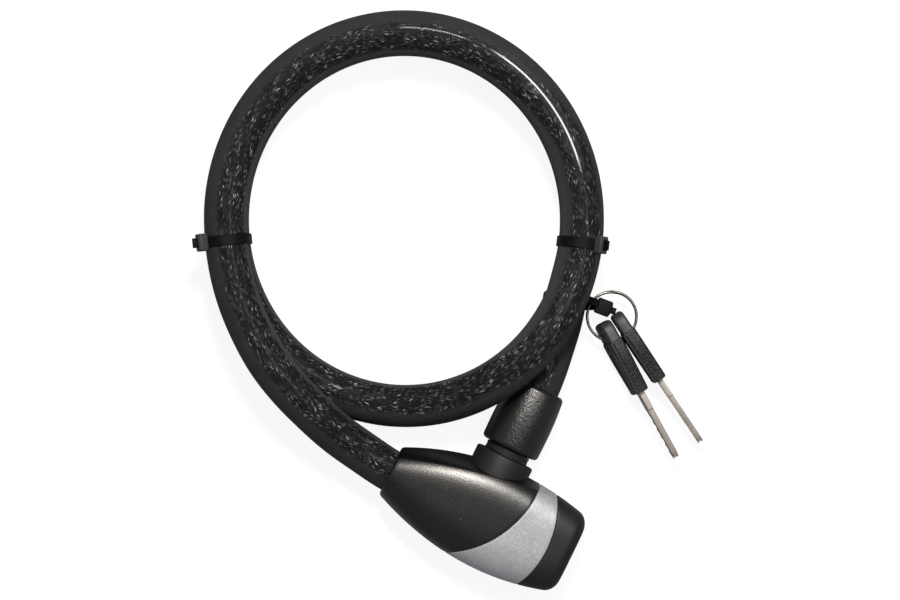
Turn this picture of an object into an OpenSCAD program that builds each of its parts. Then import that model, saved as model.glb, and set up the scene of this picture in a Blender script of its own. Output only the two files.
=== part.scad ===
// Keyed cable lock: a head that holds a wafer cylinder and a latch, and a sheathed steel cable
// that leaves the head's mouth, winds one and a half turns and ends in a plug on the head's side.

/* [Head] */
// Length of the head from cable mouth to key end
head_l = 94; // [90:1:104]
// Thickness of the head at its crown
head_t = 34; // [33:0.5:38]
// Width of the head at the cable mouth
mouth_w = 24.7; // [24:0.1:27]
// Thickness of the head at the cable mouth
mouth_t = 25; // [24:0.5:28]
// Distance from the mouth to the crown
crown_at = 55; // [50:1:60]
// Height of the crown above the head's axis, on the plug side
crown_up = 25.8; // [25:0.2:28]
// Depth of the crown below the head's axis
crown_down = 24; // [23:0.5:27]
// Height of the key end above the head's axis
end_up = 20.5; // [18:0.5:23]
// Depth of the key end below the head's axis
end_down = 17.5; // [16:0.5:21]
// Thickness of the head at the key end
end_t = 31; // [28:0.5:33]
// Rounding of the key end's edge
corner_r = 5; // [3:0.5:6]
// Widest part of the sloping strip between the crease and the plug side's edge
crease_w = 6.6; // [5:0.2:7]
// Thickness of the outer skin
skin = 1.8; // [1.4:0.1:2.2]
// Thickness of the inner lip that carries the band
lip = 1.7; // [1.4:0.1:2]
// Gap along the seams between cover, band and cap
seam = 0.15; // [0.05:0.05:0.3]

/* [Seams] */
// Radius of the arc where the cover ends
cover_seam_r = 51.8; // [50:0.2:53]
// Radius of the arc where the band ends
band_seam_r = 49.5; // [48:0.5:51]

/* [Plug side] */
// Distance from the key end to the plug's axis
plug_at = 48.2; // [47:0.2:49.6]
// Radius of the socket collar
collar_r = 14.3; // [13:0.1:14.8]
// Height of the collar above the head's middle line
collar_top = 27; // [26:0.5:29]
// Radius of the plug's pin
pin_r = 5.5; // [5:0.1:5.8]
// Radius at the bottom of the pin's groove
groove_r = 3.7; // [3.2:0.1:4]
// Width of the pin's groove
groove_w = 3.3; // [3.1:0.1:3.8]
// Largest radius of the plug's boot
boot_r = 14.35; // [13.5:0.05:15]
// Length of the boot
boot_l = 32; // [30:1:36]
// Radius of the boot where the cable enters
boot_end_r = 12.1; // [11.8:0.1:12.8]
// Radius of the plug's flange
flange_r = 10.8; // [10:0.1:11.5]

/* [Cylinder] */
// Radius of the turning plug
rotor_r = 6; // [5.6:0.1:6.4]
// Outside radius of the barrel
barrel_r = 8.6; // [8.2:0.1:9]
// Length of the barrel
barrel_l = 32.6; // [30:0.2:33]
// Number of wafers
wafers_n = 6; // [4:1:7]
// Width of the keyway
keyway_w = 3; // [2.8:0.1:3.4]
// Height of the keyway
keyway_h = 8.6; // [8.4:0.1:9]
// Throw of the crank that drives the latch
crank_e = 2.6; // [2.4:0.05:2.8]
// Thickness of the latch plate
latch_t = 2.5; // [2:0.1:2.6]

/* [Cable and ties] */
// Diameter of the sheathed cable
cable_d = 20; // [19:0.5:20]
// Diameter of the bare steel core
strand_d = 9.9; // [8:0.1:9.9]
// Width of the cable tie straps
tie_w = 4.9; // [3.6:0.1:6]
// Thickness of the cable tie straps
tie_t = 1.2; // [1:0.1:1.2]

/* [Keys] */
// Length of a key's grip
grip_l = 37.8; // [34:0.2:38]
// Height of a key's grip, on edge
grip_h = 22; // [20:1:24]
// Thickness of a key's grip
grip_t = 7; // [6:0.1:7.2]
// Length of a key's blade outside the grip
blade_l = 35.2; // [30:0.2:38]
// Height of the blade
blade_h = 8; // [7:0.1:8.2]
// Thickness of the blade
blade_t = 2.6; // [2:0.1:2.6]
// Outside radius of the split ring
ring_r = 12.5; // [12:0.1:13]
// Width of the split ring's wire
ring_wire = 1.6; // [1.2:0.1:1.8]

/* [Hidden] */
$fn = 48;

fit = 0.05;      // running clearance on a radius
clear = 0.3;     // free clearance between pieces that move apart
far = 40;        // length of a cutter that passes right through
seat = 0.1;      // clearance of a piece that is pressed or glued in
eps = 0.01;      // overshoot of a cut past a face

// --- axes and stations of the head ---
axis_z = head_t / 2;                 // height of the head's axis above the floor
axis_y = crown_down - collar_top;    // the head's axis, with the origin midway across head and collar
mouth_x = -head_l / 2;
key_x = head_l / 2;
crown_x = mouth_x + crown_at;
plug_x = key_x - plug_at;

mouth_lip = 1.2;                     // rounding of the mouth's edge
mouth_n = 2.3;                       // squareness of the section at the mouth
crown_n = 3.4;                       // squareness of the section from the crown on
sides = 36;                          // points round a section
loft_step = 7;                       // spacing of the sections along the inner forms
crease_x = mouth_x + 25;              // where the strip beside the crease is widest
crease_reach = 51;                   // distance from there over which it narrows
crease_min = 1;
crease_flat = 0.6;                   // 1 is a flat strip, less is a rounder one
crease_side = 50;                    // the section's points up to this angle lie on the strip
cover_seam_back = 79.5;              // seam arcs' centres, back from the key end and up from the axis
cover_seam_up = 22.4;
band_seam_back = 61.5;
band_seam_up = 0.1;
lip_meet = 6;                        // the cover's lip stops this far short of the band's far seam
inner_from = mouth_x + 8;            // the lip's start, inside the cover
cap_lip_from = crown_x + 8;          // the cap's own lip starts ahead of this
cavity_end = key_x - 4;              // end of the hollow behind the key end's wall
boss_l = 5;                          // length of the cap's boss round the barrel
boss_wall = 2;

cable_r = cable_d / 2;
strand_r = strand_d / 2;
sheath_in = 15.5;                    // depth that the sheath goes into the mouth
sheath_x = mouth_x + sheath_in;      // end of the sheath inside the head
cavity_x = sheath_x + seat;          // start of the hollow behind the mouth
ferrule_l = plug_x - pin_r - 8.3 - sheath_x;   // up to the wall of the plug's chamber
ferrule_r = 7.8;
ferrule_floor = 2;                   // closed end of the ferrule, and of the plug's cable socket
ferrule_pin_r = 1.6;
ferrule_pin_x = sheath_x + 8.25;
ferrule_pin_h = 14.6;
rear_boss_r = 10.8;
front_boss_r = 11;
front_boss_l = 22;

// --- plug and latch along Y ---
pin_tip_y = 5;
groove_y = 9.6;                      // lower edge of the groove
latch_y = groove_y + (groove_w - latch_t) / 2;
turret_y = 15.8;                     // top of the core block's turret
turret_y0 = latch_y + latch_t + 0.2; // the turret's underside, just above the latch
turret_r = 10.3;
spigot_r = 8;                        // the collar's stem in the turret
spigot_y = latch_y + latch_t + 0.7;
latch_half = pin_r + 2.8;            // half width of the latch about the plug's axis
flange_y = collar_top + clear;
flange_t = 1;
boot_y = collar_top + 4;             // lower face of the boot
shank_r = 8.5;
shank_l = 11;
cable_end_y = boot_y + shank_l;      // where the cable's sheath ends inside the boot

// --- cylinder along X ---
barrel_x = key_x - 0.4 - barrel_l;   // inner end of the barrel
rotor_x = barrel_x + 0.6;            // inner end of the rotor's thick part
tail_w = 5;                          // square tail of the rotor
clip_t = 0.8;
clip_x = barrel_x - 0.2 - clip_t;
crank_t = 1.6;
crank_x = clip_x - 0.2 - crank_t;    // inner face of the crank's disc
crank_r = 5;
crank_pin_r = 1.5;
crank_slack = 0.15;                  // clearance of the crank's pin in the latch
wing_t = 2;                          // thickness of the latch's driven wing
wing_x = crank_x - 0.4 - wing_t;
wing_clear = 0.6;                    // between the wing and the core block
crank_floor = 0.3;                   // disc left behind the rotor's square tail
latch_travel = 2 * crank_e * sin(45);
wafer_t = 1;
wafer_pitch = 3.2;
wafer_w = 8;
wafer_x0 = key_x - 7.6;              // middle of the wafer nearest the key end
barrel_pin_x = barrel_x + 8;
barrel_pin_r = 1.25;
block_wall = 4.5;                    // core block's wall behind the latch
block_x = plug_x - latch_half - block_wall;
block_x1 = wing_x - wing_clear;
block_down = 12.5;                   // depth of the core block below the axis
block_y1 = 11.6;
block_h = 19.6;
neck_half = 5;                       // half width of the web between block and turret
bridge_half = 9;                     // half width of the web between block and cylinder housing

// --- the cable's route, from inside the mouth to inside the boot ---
LEAD = [
    [-31.5, -3, 17], [-47, -3, 17], [-62, -1, 18.5], [-78, 2, 23], [-93, 6.5, 27.5], [-106.5, 11.5, 31],
    [-119, 17.5, 32], [-135, 28.5, 32], [-149.5, 42, 32]
];
TO_PLUG = [
    [-7.8, 106, 12], [-5.2, 95, 12.9], [-3.2, 82, 14.9], [-2, 73, 16.2], [-1.2, 62, 17], [-1.2, 52, 17],
    [-1.2, 42, 17]
];
coil_centre = [-92.6, 105.3];
coil_turn = 26;                      // angle of the coil's oval against the head's axis
coil_r = 85.8;                       // mean radius of the coil's centreline
coil_oval = 2.1;                     // how much the oval is longer one way than the other
coil_top = 1.1;                      // how much the oval bulges at its top
coil_from = 186;                     // angle round the coil at the left tie
coil_step = 360 / 28;                // angle from one point to the next, so both turns share the ties' angles
coil_steps = 44;
upper_z = 32;                        // heights of the two turns' centrelines
lower_z = 11.5;
drop_from = -42;                     // the upper turn comes down to the lower one between these angles
drop_to = -115;
hump = 4.5;                          // rise of the upper turn where it crosses the boot
hump_at = -48;
hump_half = 41;

function soften(t) = let (c = min(1, max(0, t))) c * c * (3 - 2 * c);
function coil_radius(a) = coil_r - coil_oval * cos(2 * a) + coil_top * sin(a);
function coil_z(a) =
    upper_z - (upper_z - lower_z) * soften((a - drop_from) / (drop_to - drop_from))
    + (abs(a - hump_at) < hump_half ? hump * pow(cos(90 * (a - hump_at) / hump_half), 2) : 0);
function coil_point(a) = [
    coil_centre.x + coil_radius(a) * cos(a + coil_turn),
    coil_centre.y + coil_radius(a) * sin(a + coil_turn), coil_z(a)];
ROUTE = concat(
    LEAD, [for (k = [0:coil_steps]) coil_point(coil_from - k * coil_step)], TO_PLUG);
LEAD_END = len(LEAD);                // the point under the left tie, where the lead meets the coil
COIL_END = len(ROUTE) - 1;
ring_step = 23;                      // widest spacing of the tube's rings
end_gap = 0.06;                      // each length of the cable stops this far short of the next
tube_sides = 10;
turns_apart = upper_z - lower_z;

// --- ties, ring and keys ---
tie_slack = 0.25;                    // between strap and cable
tie_left_a = coil_from;              // angle of each tie round the coil
tie_right_a = coil_from - 15 * coil_step;
tie_head = [5.4, 8.2, 7];            // radial, along the cable, up
key_tie_at = [-7.8, 106];
key_tie_a = 17;
key_tie_z = 12;
key_tie_head = [5.8, 6.4, 6];
key_tie_reach = 15.9;                  // from the cable's centre to the head of the key tie
key_tie_w = 3.6;
ring_at = [15.2, 108.4];
ring_z = 11;
ring_mid = ring_r - ring_wire / 2;
key_a_at = [12.3, 103.8];
key_a_a = -35.1;
key_b_at = [16.2, 110.4];
key_b_a = -30.3;
slot_at = 9;                         // from the grip's end to the middle of its slot
slot_l = 8;
slot_h = 3.4;
tang_l = 20;                         // length of the blade inside the grip

// ---------- curves and solids that several pieces share ----------

// Rises from 0 at the mouth to 1 at the crown, as a parabola
function rise(x) = let (t = min(1, max(0, (x - mouth_x) / crown_at))) 1 - pow(1 - t, 2);
// Rises from 0 at the crown to 1 at the key end
function fall(x) = let (t = max(0, (x - crown_x) / (key_x - crown_x))) t * t;
function swell(x, at_mouth, at_crown, at_end) =
    x < crown_x ? at_mouth + (at_crown - at_mouth) * rise(x) : at_crown + (at_end - at_crown) * fall(x);

// How far the rounded edges draw the outline in at a station
function end_round(x) = let (d = x - (key_x - corner_r))
    d <= 0 ? 0 : corner_r - sqrt(max(0, pow(corner_r, 2) - d * d));
function mouth_round(x) = let (d = (mouth_x + mouth_lip) - x)
    d <= 0 ? 0 : mouth_lip - sqrt(max(0, pow(mouth_lip, 2) - d * d));

// Width of the strip beside the crease
function strip(x) = crease_min
    + (crease_w - crease_min) * max(0, 1 - pow((x - crease_x) / crease_reach, 2));

// One section of the head: a squared oval, cut off by the strip on the plug's side
function oval(v, n) = pow(1 - pow(abs(v), n), 1 / n);
function signed_pow(v, p) = sign(v) * pow(abs(v), p);
function section(x, inset) =
    let (up = swell(x, mouth_w / 2, crown_up, end_up) - inset,
         down = swell(x, mouth_w / 2, crown_down, end_down) - inset,
         half_t = swell(x, mouth_t, head_t, end_t) / 2 - inset,
         n = mouth_n + (crown_n - mouth_n) * rise(x),
         half = (up + down) / 2, mid_y = axis_y + (up - down) / 2,
         edge = 1 - strip(x) / half,
         spread = (edge + 1) / (pow(cos(crease_side), 2 / n) + 1))
    [for (i = [0:sides - 1]) let (
         a = i <= sides / 2 ? i * 360 / sides : i * 360 / sides - 360,
         t = 1 - abs(a) / crease_side,
         across = t > 0 ? edge + (1 - edge) * t : (signed_pow(cos(a), 2 / n) + 1) * spread - 1,
         high = t > 0 ? oval(edge, n) * (1 - crease_flat * t - (1 - crease_flat) * t * t) : oval(across, n))
        [x, mid_y + half * across, axis_z + half_t * sign(a) * high]];

// Closes a stack of rings of points into a solid
module skin_rings(rings) {
    n = len(rings[0]);
    last = len(rings) - 1;
    polyhedron(
        points = [for (r = rings) each r],
        faces = concat(
            [[for (i = [0:n - 1]) i]],
            [for (k = [0:last - 1]) for (i = [0:n - 1])
                [k * n + i, (k + 1) * n + i, (k + 1) * n + (i + 1) % n, k * n + (i + 1) % n]],
            [[for (i = [n - 1:-1:0]) last * n + i]]),
        convexity = 4);
}

function body_stations() = concat(
    [for (a = [0:45:90]) mouth_x + mouth_lip * (1 - cos(a))],
    [for (i = [1:7]) mouth_x + mouth_lip + (crown_at - mouth_lip) * i / 7],
    [for (i = [1:4]) crown_x + (key_x - corner_r - crown_x) * i / 4],
    [for (a = [22.5:22.5:90]) key_x - corner_r * (1 - sin(a))]);

// The head's outer form
module head_form() {
    skin_rings([for (x = body_stations()) section(x, end_round(x) + mouth_round(x))]);
}

// The head's form drawn in by an even wall, between two stations
module inner_form(inset, x0, x1) {
    first = ceil((x0 - mouth_x) / loft_step + 0.1);
    last = floor((x1 - mouth_x) / loft_step - 0.1);
    skin_rings([for (x = concat(x0, [for (k = [first:last]) mouth_x + k * loft_step], x1)) section(x, inset)]);
}

// Upright discs that carry the seams' arcs
module cover_seam(r) {
    translate([key_x - cover_seam_back, axis_y + cover_seam_up, -1]) cylinder(r = r, h = head_t + 2, $fn = 96);
}
module band_seam(r) {
    translate([key_x - band_seam_back, axis_y + band_seam_up, -1]) cylinder(r = r, h = head_t + 2, $fn = 96);
}

module along_x(x) { translate([x, axis_y, axis_z]) rotate([0, 90, 0]) children(); }
module along_y(y) { translate([plug_x, y, axis_z]) rotate([-90, 0, 0]) children(); }

// ---------- housing ----------

module hollow() { inner_form(skin + lip, cavity_x, cavity_end); }

module collar_hole() {
    along_y(turret_y) cylinder(r = collar_r + seat, h = far);
    along_y(block_y1) cylinder(r = turret_r + seat, h = far);
}

module main_cover() {
    color([0.05, 0.05, 0.055])
    difference() {
        union() {
            intersection() {
                head_form();
                cover_seam(cover_seam_r);
            }
            intersection() {
                inner_form(skin + seat, inner_from, cavity_end);
                band_seam(band_seam_r - lip_meet);
            }
        }
        hollow();
        along_x(mouth_x - 1) cylinder(r = cable_r + clear, h = cavity_x - mouth_x + 2);
        collar_hole();
    }
}

module silver_band() {
    color([0.72, 0.72, 0.74])
    difference() {
        intersection() {
            head_form();
            band_seam(band_seam_r - seam);
        }
        cover_seam(cover_seam_r + seam);
        inner_form(skin, inner_from, cavity_end);
    }
}

module end_cap() {
    boss_r = barrel_r + seat + boss_wall;
    color([0.05, 0.05, 0.055])
    difference() {
        union() {
            difference() {
                head_form();
                band_seam(band_seam_r);
                hollow();
            }
            difference() {
                inner_form(skin + seat, cap_lip_from, cavity_end);
                band_seam(band_seam_r - lip_meet + 2 * seam);
                hollow();
            }
            along_x(cavity_end - boss_l) cylinder(r = boss_r, h = boss_l + 1);
        }
        along_x(cavity_end - boss_l - 1) cylinder(r = barrel_r + seat, h = far);
    }
}

module socket_collar() {
    color([0.06, 0.06, 0.065])
    difference() {
        union() {
            along_y(turret_y + seat) rotate_extrude() polygon([
                [0, 0], [collar_r, 0], [collar_r, collar_top - turret_y - seat - 0.5],
                [collar_r - 0.5, collar_top - turret_y - seat], [0, collar_top - turret_y - seat]]);
            along_y(spigot_y) cylinder(r = spigot_r, h = turret_y - spigot_y + 1);
        }
        along_y(spigot_y - 1) cylinder(r = pin_r + clear, h = far);
    }
}

// ---------- core and cable anchor ----------

module core_block() {
    ferrule_x1 = sheath_x + ferrule_l + seat;
    bridge_y = axis_y - crank_r - 1.6;
    color([0.55, 0.55, 0.56])
    difference() {
        union() {
            along_x(sheath_x + 2 * seat) cylinder(r = rear_boss_r, h = block_x - sheath_x + 2);
            translate([block_x, axis_y - block_down, axis_z - block_h / 2])
                cube([block_x1 - block_x, block_y1 - axis_y + block_down, block_h]);
            along_y(turret_y0) cylinder(r = turret_r, h = turret_y - turret_y0);
            translate([plug_x - turret_r - 1, latch_y, axis_z - neck_half])
                cube([turret_r, turret_y - 1 - latch_y, 2 * neck_half]);
            translate([block_x1 - 1, axis_y - block_down, axis_z - bridge_half])
                cube([barrel_x - block_x1 + 2, bridge_y - axis_y + block_down, 2 * bridge_half]);
            along_x(barrel_x - seat) cylinder(r = front_boss_r, h = front_boss_l);
        }
        along_x(sheath_x - 1) cylinder(r = ferrule_r + seat, h = ferrule_x1 - sheath_x + 1);
        translate([ferrule_pin_x, axis_y - ferrule_r, 0])
            cylinder(r = ferrule_pin_r + fit, h = head_t);
        along_y(pin_tip_y - 1) cylinder(r = pin_r + clear, h = far);
        along_y(spigot_y - seat) cylinder(r = spigot_r + seat, h = far);
        translate([plug_x - latch_half - clear, latch_y - crank_slack, axis_z - block_h / 2 - 1])
            cube([far, latch_t + 2 * crank_slack, block_h + 2]);
        along_x(barrel_x - 1) cylinder(r = barrel_r + fit, h = far);
        translate([barrel_pin_x, axis_y, axis_z]) cylinder(r = barrel_pin_r + fit, h = 20);
    }
}

module cable_ferrule() {
    color([0.7, 0.7, 0.7])
    difference() {
        along_x(sheath_x) cylinder(r = ferrule_r, h = ferrule_l);
        along_x(sheath_x - 1) cylinder(r = strand_r + fit, h = ferrule_l - ferrule_floor + 1);
        translate([ferrule_pin_x, axis_y - ferrule_r, 0])
            cylinder(r = ferrule_pin_r + fit, h = head_t);
    }
}

module ferrule_pin() {
    color([0.75, 0.75, 0.75])
    translate([ferrule_pin_x, axis_y - ferrule_r, axis_z - ferrule_pin_h / 2])
        cylinder(r = ferrule_pin_r, h = ferrule_pin_h);
}

module head_strand() {
    color([0.6, 0.6, 0.6])
    along_x(sheath_x + eps) cylinder(r = strand_r, h = ferrule_l - ferrule_floor - 0.2);
}

// ---------- wafer cylinder ----------

module barrel() {
    color([0.8, 0.78, 0.72])
    difference() {
        along_x(barrel_x) cylinder(r = barrel_r, h = barrel_l);
        along_x(barrel_x - 1) cylinder(r = rotor_r + fit, h = barrel_l + 2);
        translate([barrel_pin_x, axis_y, axis_z + rotor_r + 0.8])
            cylinder(r = barrel_pin_r + fit, h = 10);
    }
}

module barrel_pin() {
    color([0.7, 0.7, 0.7])
    translate([barrel_pin_x, axis_y, axis_z + rotor_r + 1])
        cylinder(r = barrel_pin_r, h = front_boss_r - rotor_r - 1.2);
}

module keyway() {
    translate([rotor_x + 3, axis_y - keyway_w / 2, axis_z - keyway_h / 2])
        cube([barrel_l, keyway_w, keyway_h]);
}

module cylinder_plug() {
    color([0.83, 0.72, 0.42])
    difference() {
        union() {
            along_x(rotor_x) cylinder(r = rotor_r, h = key_x - 0.5 - rotor_x);
            along_x(clip_x - 0.1) cylinder(r = tail_w / 2 + 1.2, h = rotor_x - clip_x + 0.2);
            translate([crank_x + crank_floor + eps, axis_y - tail_w / 2, axis_z - tail_w / 2])
                cube([clip_x - crank_x - crank_floor, tail_w, tail_w]);
        }
        along_x(clip_x - eps) difference() {
            cylinder(r = rotor_r + 1, h = clip_t + 0.2);
            translate([0, 0, -1]) cylinder(r = tail_w / 2 + 0.6, h = clip_t + 3);
        }
        keyway();
        for (i = [0:wafers_n - 1])
            translate([wafer_x0 - i * wafer_pitch - wafer_t / 2 - seat, axis_y - wafer_w / 2 - seat, 0])
                cube([wafer_t + 2 * seat, wafer_w + 2 * seat, head_t]);
    }
}

// Each wafer stops at its own height, so each window sits a little differently
function wafer_lift(i) = 0.45 * ((i * 2) % 3 - 1);

module wafers() {
    color([0.86, 0.76, 0.46])
    for (i = [0:wafers_n - 1])
        difference() {
            intersection() {
                along_x(wafer_x0 - i * wafer_pitch - wafer_t / 2) cylinder(r = rotor_r - 0.1, h = wafer_t);
                translate([0, axis_y - wafer_w / 2, 0]) cube([head_l, wafer_w, head_t]);
            }
            translate([0, axis_y - keyway_w / 2 - 0.1, axis_z - keyway_h / 2 + wafer_lift(i)])
                cube([head_l, keyway_w + 0.2, keyway_h - 1]);
        }
}

module crank() {
    color([0.66, 0.66, 0.68])
    difference() {
        union() {
            along_x(crank_x) cylinder(r = crank_r, h = crank_t);
            translate([0, crank_e * cos(45), -crank_e * sin(45)])
                along_x(wing_x - 0.5) cylinder(r = crank_pin_r, h = crank_x - wing_x + 0.6);
        }
        translate([crank_x + crank_floor, axis_y - tail_w / 2 - fit, axis_z - tail_w / 2 - fit])
            cube([crank_t, tail_w + 2 * fit, tail_w + 2 * fit]);
    }
}

module retaining_clip() {
    color([0.5, 0.5, 0.52])
    along_x(clip_x + 0.1) difference() {
        cylinder(r = rotor_r + 1.2, h = clip_t - 0.1);
        translate([0, 0, -1]) cylinder(r = tail_w / 2 + 0.6 + fit, h = 4);
        translate([0, -2.2, -1]) cube([20, 4.4, 4]);
    }
}

// ---------- latch ----------

module latch_plate() {
    hole_r = pin_r + clear;
    slot_r = groove_r + 0.25;
    plate_z0 = axis_z - latch_travel - slot_r - 2;
    plate_z1 = axis_z + hole_r + 0.9;
    pin_y = axis_y + crank_e * cos(45);
    pin_z = axis_z - crank_e * sin(45);
    yoke_h = 10;
    slot_extra = crank_e - crank_e * cos(45);
    color([0.62, 0.63, 0.65])
    difference() {
        union() {
            translate([plug_x - latch_half, latch_y, plate_z0])
                cube([wing_x + wing_t - plug_x + latch_half, latch_t, plate_z1 - plate_z0]);
            translate([wing_x, pin_y - crank_pin_r - 2, pin_z - yoke_h / 2])
                cube([wing_t, latch_y + latch_t - pin_y + crank_pin_r + 2, yoke_h]);
        }
        along_y(latch_y - 1) cylinder(r = hole_r, h = latch_t + 2);
        translate([0, 0, -latch_travel]) along_y(latch_y - 1) cylinder(r = slot_r, h = latch_t + 2);
        translate([wing_x - 1, pin_y, pin_z]) rotate([0, 90, 0])
            cylinder(r = crank_pin_r + crank_slack, h = wing_t + 2);
        translate([wing_x - 1, pin_y + slot_extra, pin_z]) rotate([0, 90, 0])
            cylinder(r = crank_pin_r + crank_slack, h = wing_t + 2);
        translate([wing_x - 1, pin_y, pin_z - crank_pin_r - crank_slack])
            cube([wing_t + 2, slot_extra, 2 * (crank_pin_r + crank_slack)]);
    }
}

// ---------- plug ----------

module plug_pin() {
    tip = 2;
    f2 = flange_y + 2 * flange_t;
    color([0.72, 0.72, 0.73])
    difference() {
        along_y(0) rotate_extrude() polygon([
            [0, pin_tip_y], [pin_r - tip, pin_tip_y], [pin_r, pin_tip_y + tip],
            [pin_r, groove_y], [groove_r, groove_y], [groove_r, groove_y + groove_w],
            [pin_r, groove_y + groove_w], [pin_r, flange_y],
            [flange_r, flange_y], [flange_r, flange_y + flange_t], [flange_r - 1.2, flange_y + flange_t],
            [flange_r - 1.2, f2], [flange_r, f2], [flange_r, boot_y - 0.3 - seat],
            [shank_r, boot_y - 0.3], [shank_r, boot_y + shank_l - seat], [0, boot_y + shank_l - seat]]);
        along_y(boot_y + ferrule_floor) cylinder(r = strand_r + fit, h = shank_l);
    }
}

module plug_gasket() {
    color([0.03, 0.03, 0.03])
    along_y(flange_y + flange_t + fit) difference() {
        cylinder(r = flange_r - 0.2, h = flange_t - 2 * fit);
        translate([0, 0, -1]) cylinder(r = flange_r - 1.2 + fit, h = 3);
    }
}

module plug_strand() {
    color([0.6, 0.6, 0.6])
    along_y(boot_y + ferrule_floor + seat) cylinder(r = strand_r, h = shank_l - ferrule_floor - seat - eps);
}

module plug_boot() {
    round_r = 2;
    neck = boot_l - 2.5;
    color([0.05, 0.05, 0.055])
    difference() {
        along_y(boot_y) rotate_extrude() polygon(concat(
            [[0, 0], [boot_r - round_r - 0.35, 0]],
            [for (a = [-60:30:0]) [boot_r - 0.35 - round_r * (1 - cos(a)), round_r * (1 + sin(a))]],
            [[boot_r, boot_l * 0.24], [boot_r, boot_l * 0.5], [boot_r - 0.45, boot_l * 0.76],
             [boot_end_r + 0.8, neck]],
            [for (a = [30:30:90]) [boot_end_r - 0.7 + 1.5 * cos(a), neck + 2.5 * sin(a)]],
            [[0, boot_l]]));
        along_y(boot_y - 1) cylinder(r = shank_r + seat, h = boot_l);
        along_y(cable_end_y) cylinder(r = cable_r + 0.15, h = boot_l);
    }
}

// ---------- cable ----------

function gap(i) = norm(ROUTE[i + 1] - ROUTE[i]);
// Direction of the route at a point, weighted by the lengths on both sides
function heading(i) =
    i == 0 ? (ROUTE[1] - ROUTE[0]) / gap(0)
    : i == COIL_END ? (ROUTE[i] - ROUTE[i - 1]) / gap(i - 1)
    : ((ROUTE[i] - ROUTE[i - 1]) / gap(i - 1) * gap(i) + (ROUTE[i + 1] - ROUTE[i]) / gap(i) * gap(i - 1))
        / (gap(i) + gap(i - 1));
function route_at(i, t) =
    ROUTE[i] * (2 * t * t * t - 3 * t * t + 1) + heading(i) * gap(i) * (t * t * t - 2 * t * t + t)
    + ROUTE[i + 1] * (3 * t * t - 2 * t * t * t) + heading(i + 1) * gap(i) * (t * t * t - t * t);
function slope_at(i, t) =
    (ROUTE[i + 1] - ROUTE[i]) * (6 * t - 6 * t * t) + heading(i) * gap(i) * (3 * t * t - 4 * t + 1)
    + heading(i + 1) * gap(i) * (3 * t * t - 2 * t);
function tube_ring(i, t) =
    let (d = slope_at(i, t), ahead = d / norm(d),
         across = cross(ahead, [0, 0, 1]), side = across / norm(across), up = cross(side, ahead),
         at = route_at(i, t))
    [for (k = [0:tube_sides - 1]) let (a = k * 360 / tube_sides - 90)
        at + cable_r * (sin(a) * up - cos(a) * side)];
function tube_rings(a, b) = concat(
    [for (i = [a:b - 1]) let (n = ceil(gap(i) / ring_step)) for (j = [0:n - 1]) tube_ring(i, j / n)],
    [tube_ring(b - 1, 1 - end_gap / gap(b - 1))]);

module cable_lead() {
    color([0.09, 0.09, 0.1]) skin_rings(tube_rings(0, LEAD_END));
}

module cable_coil() {
    color([0.09, 0.09, 0.1]) skin_rings(tube_rings(LEAD_END, COIL_END));
}

// ---------- ties ----------

// Outline of a strap round two turns of cable, one above the other
module strap_outline(r) {
    union() {
        circle(r = r);
        translate([0, turns_apart]) circle(r = r);
        translate([-r, 0]) square([2 * r, turns_apart]);
    }
}

module coil_tie(angle) {
    inner = cable_r + tie_slack;
    head_z = turns_apart / 2;
    color([0.03, 0.03, 0.03])
    translate([coil_centre.x, coil_centre.y, lower_z]) rotate([0, 0, angle + coil_turn])
    translate([coil_radius(angle), 0, 0]) {
        difference() {
            union() {
                rotate([90, 0, 0]) translate([0, 0, -tie_w / 2])
                    linear_extrude(tie_w) strap_outline(inner + tie_t);
                translate([inner + seat, -tie_head.y / 2, head_z - tie_head.z / 2]) cube(tie_head);
                translate([inner + 1, -tie_w / 2, head_z - tie_t / 2]) cube([tie_head.x + 1.8, tie_w, tie_t]);
            }
            rotate([90, 0, 0]) translate([0, 0, -tie_w]) linear_extrude(2 * tie_w) strap_outline(inner);
        }
    }
}

module tie_left() { coil_tie(tie_left_a); }
module tie_right() { coil_tie(tie_right_a); }

module key_tie_outline(grow) {
    hull() {
        circle(r = cable_r + tie_slack + grow, $fn = 40);
        translate([key_tie_reach - 1, -2 - grow]) square([1, 4 + 2 * grow]);
    }
}

module key_tie() {
    color([0.03, 0.03, 0.03])
    translate([key_tie_at.x, key_tie_at.y, key_tie_z]) rotate([0, 0, key_tie_a]) {
        rotate([90, 0, 0]) translate([0, 0, -key_tie_w / 2]) linear_extrude(key_tie_w) difference() {
            key_tie_outline(tie_t);
            key_tie_outline(0);
        }
        translate([key_tie_reach - 0.5, -key_tie_head.y / 2, -key_tie_head.z / 2]) cube(key_tie_head);
    }
}

// ---------- ring and keys ----------

module key_ring() {
    groove = 0.25;
    inner = ring_mid - ring_wire / 2;
    color([0.66, 0.62, 0.56])
    translate([ring_at.x, ring_at.y, ring_z]) difference() {
        rotate_extrude($fn = 96) polygon([
            [inner, -0.6], [inner + 0.3, -0.9], [ring_r - 0.3, -0.9], [ring_r, -0.6], [ring_r, -groove / 2],
            [ring_r - groove, 0], [ring_r, groove / 2], [ring_r, 0.6], [ring_r - 0.3, 0.9],
            [inner + 0.3, 0.9], [inner, 0.6]]);
        rotate([0, 0, 40]) translate([inner - 1, 0, 0]) cube([4, 0.5, 2]);
        rotate([0, 0, 75]) translate([inner - 1, 0, -2]) cube([4, 0.5, 2]);
    }
}

module place_key(at, angle) {
    translate([at.x, at.y, ring_z]) rotate([0, 0, angle]) children();
}

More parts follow.
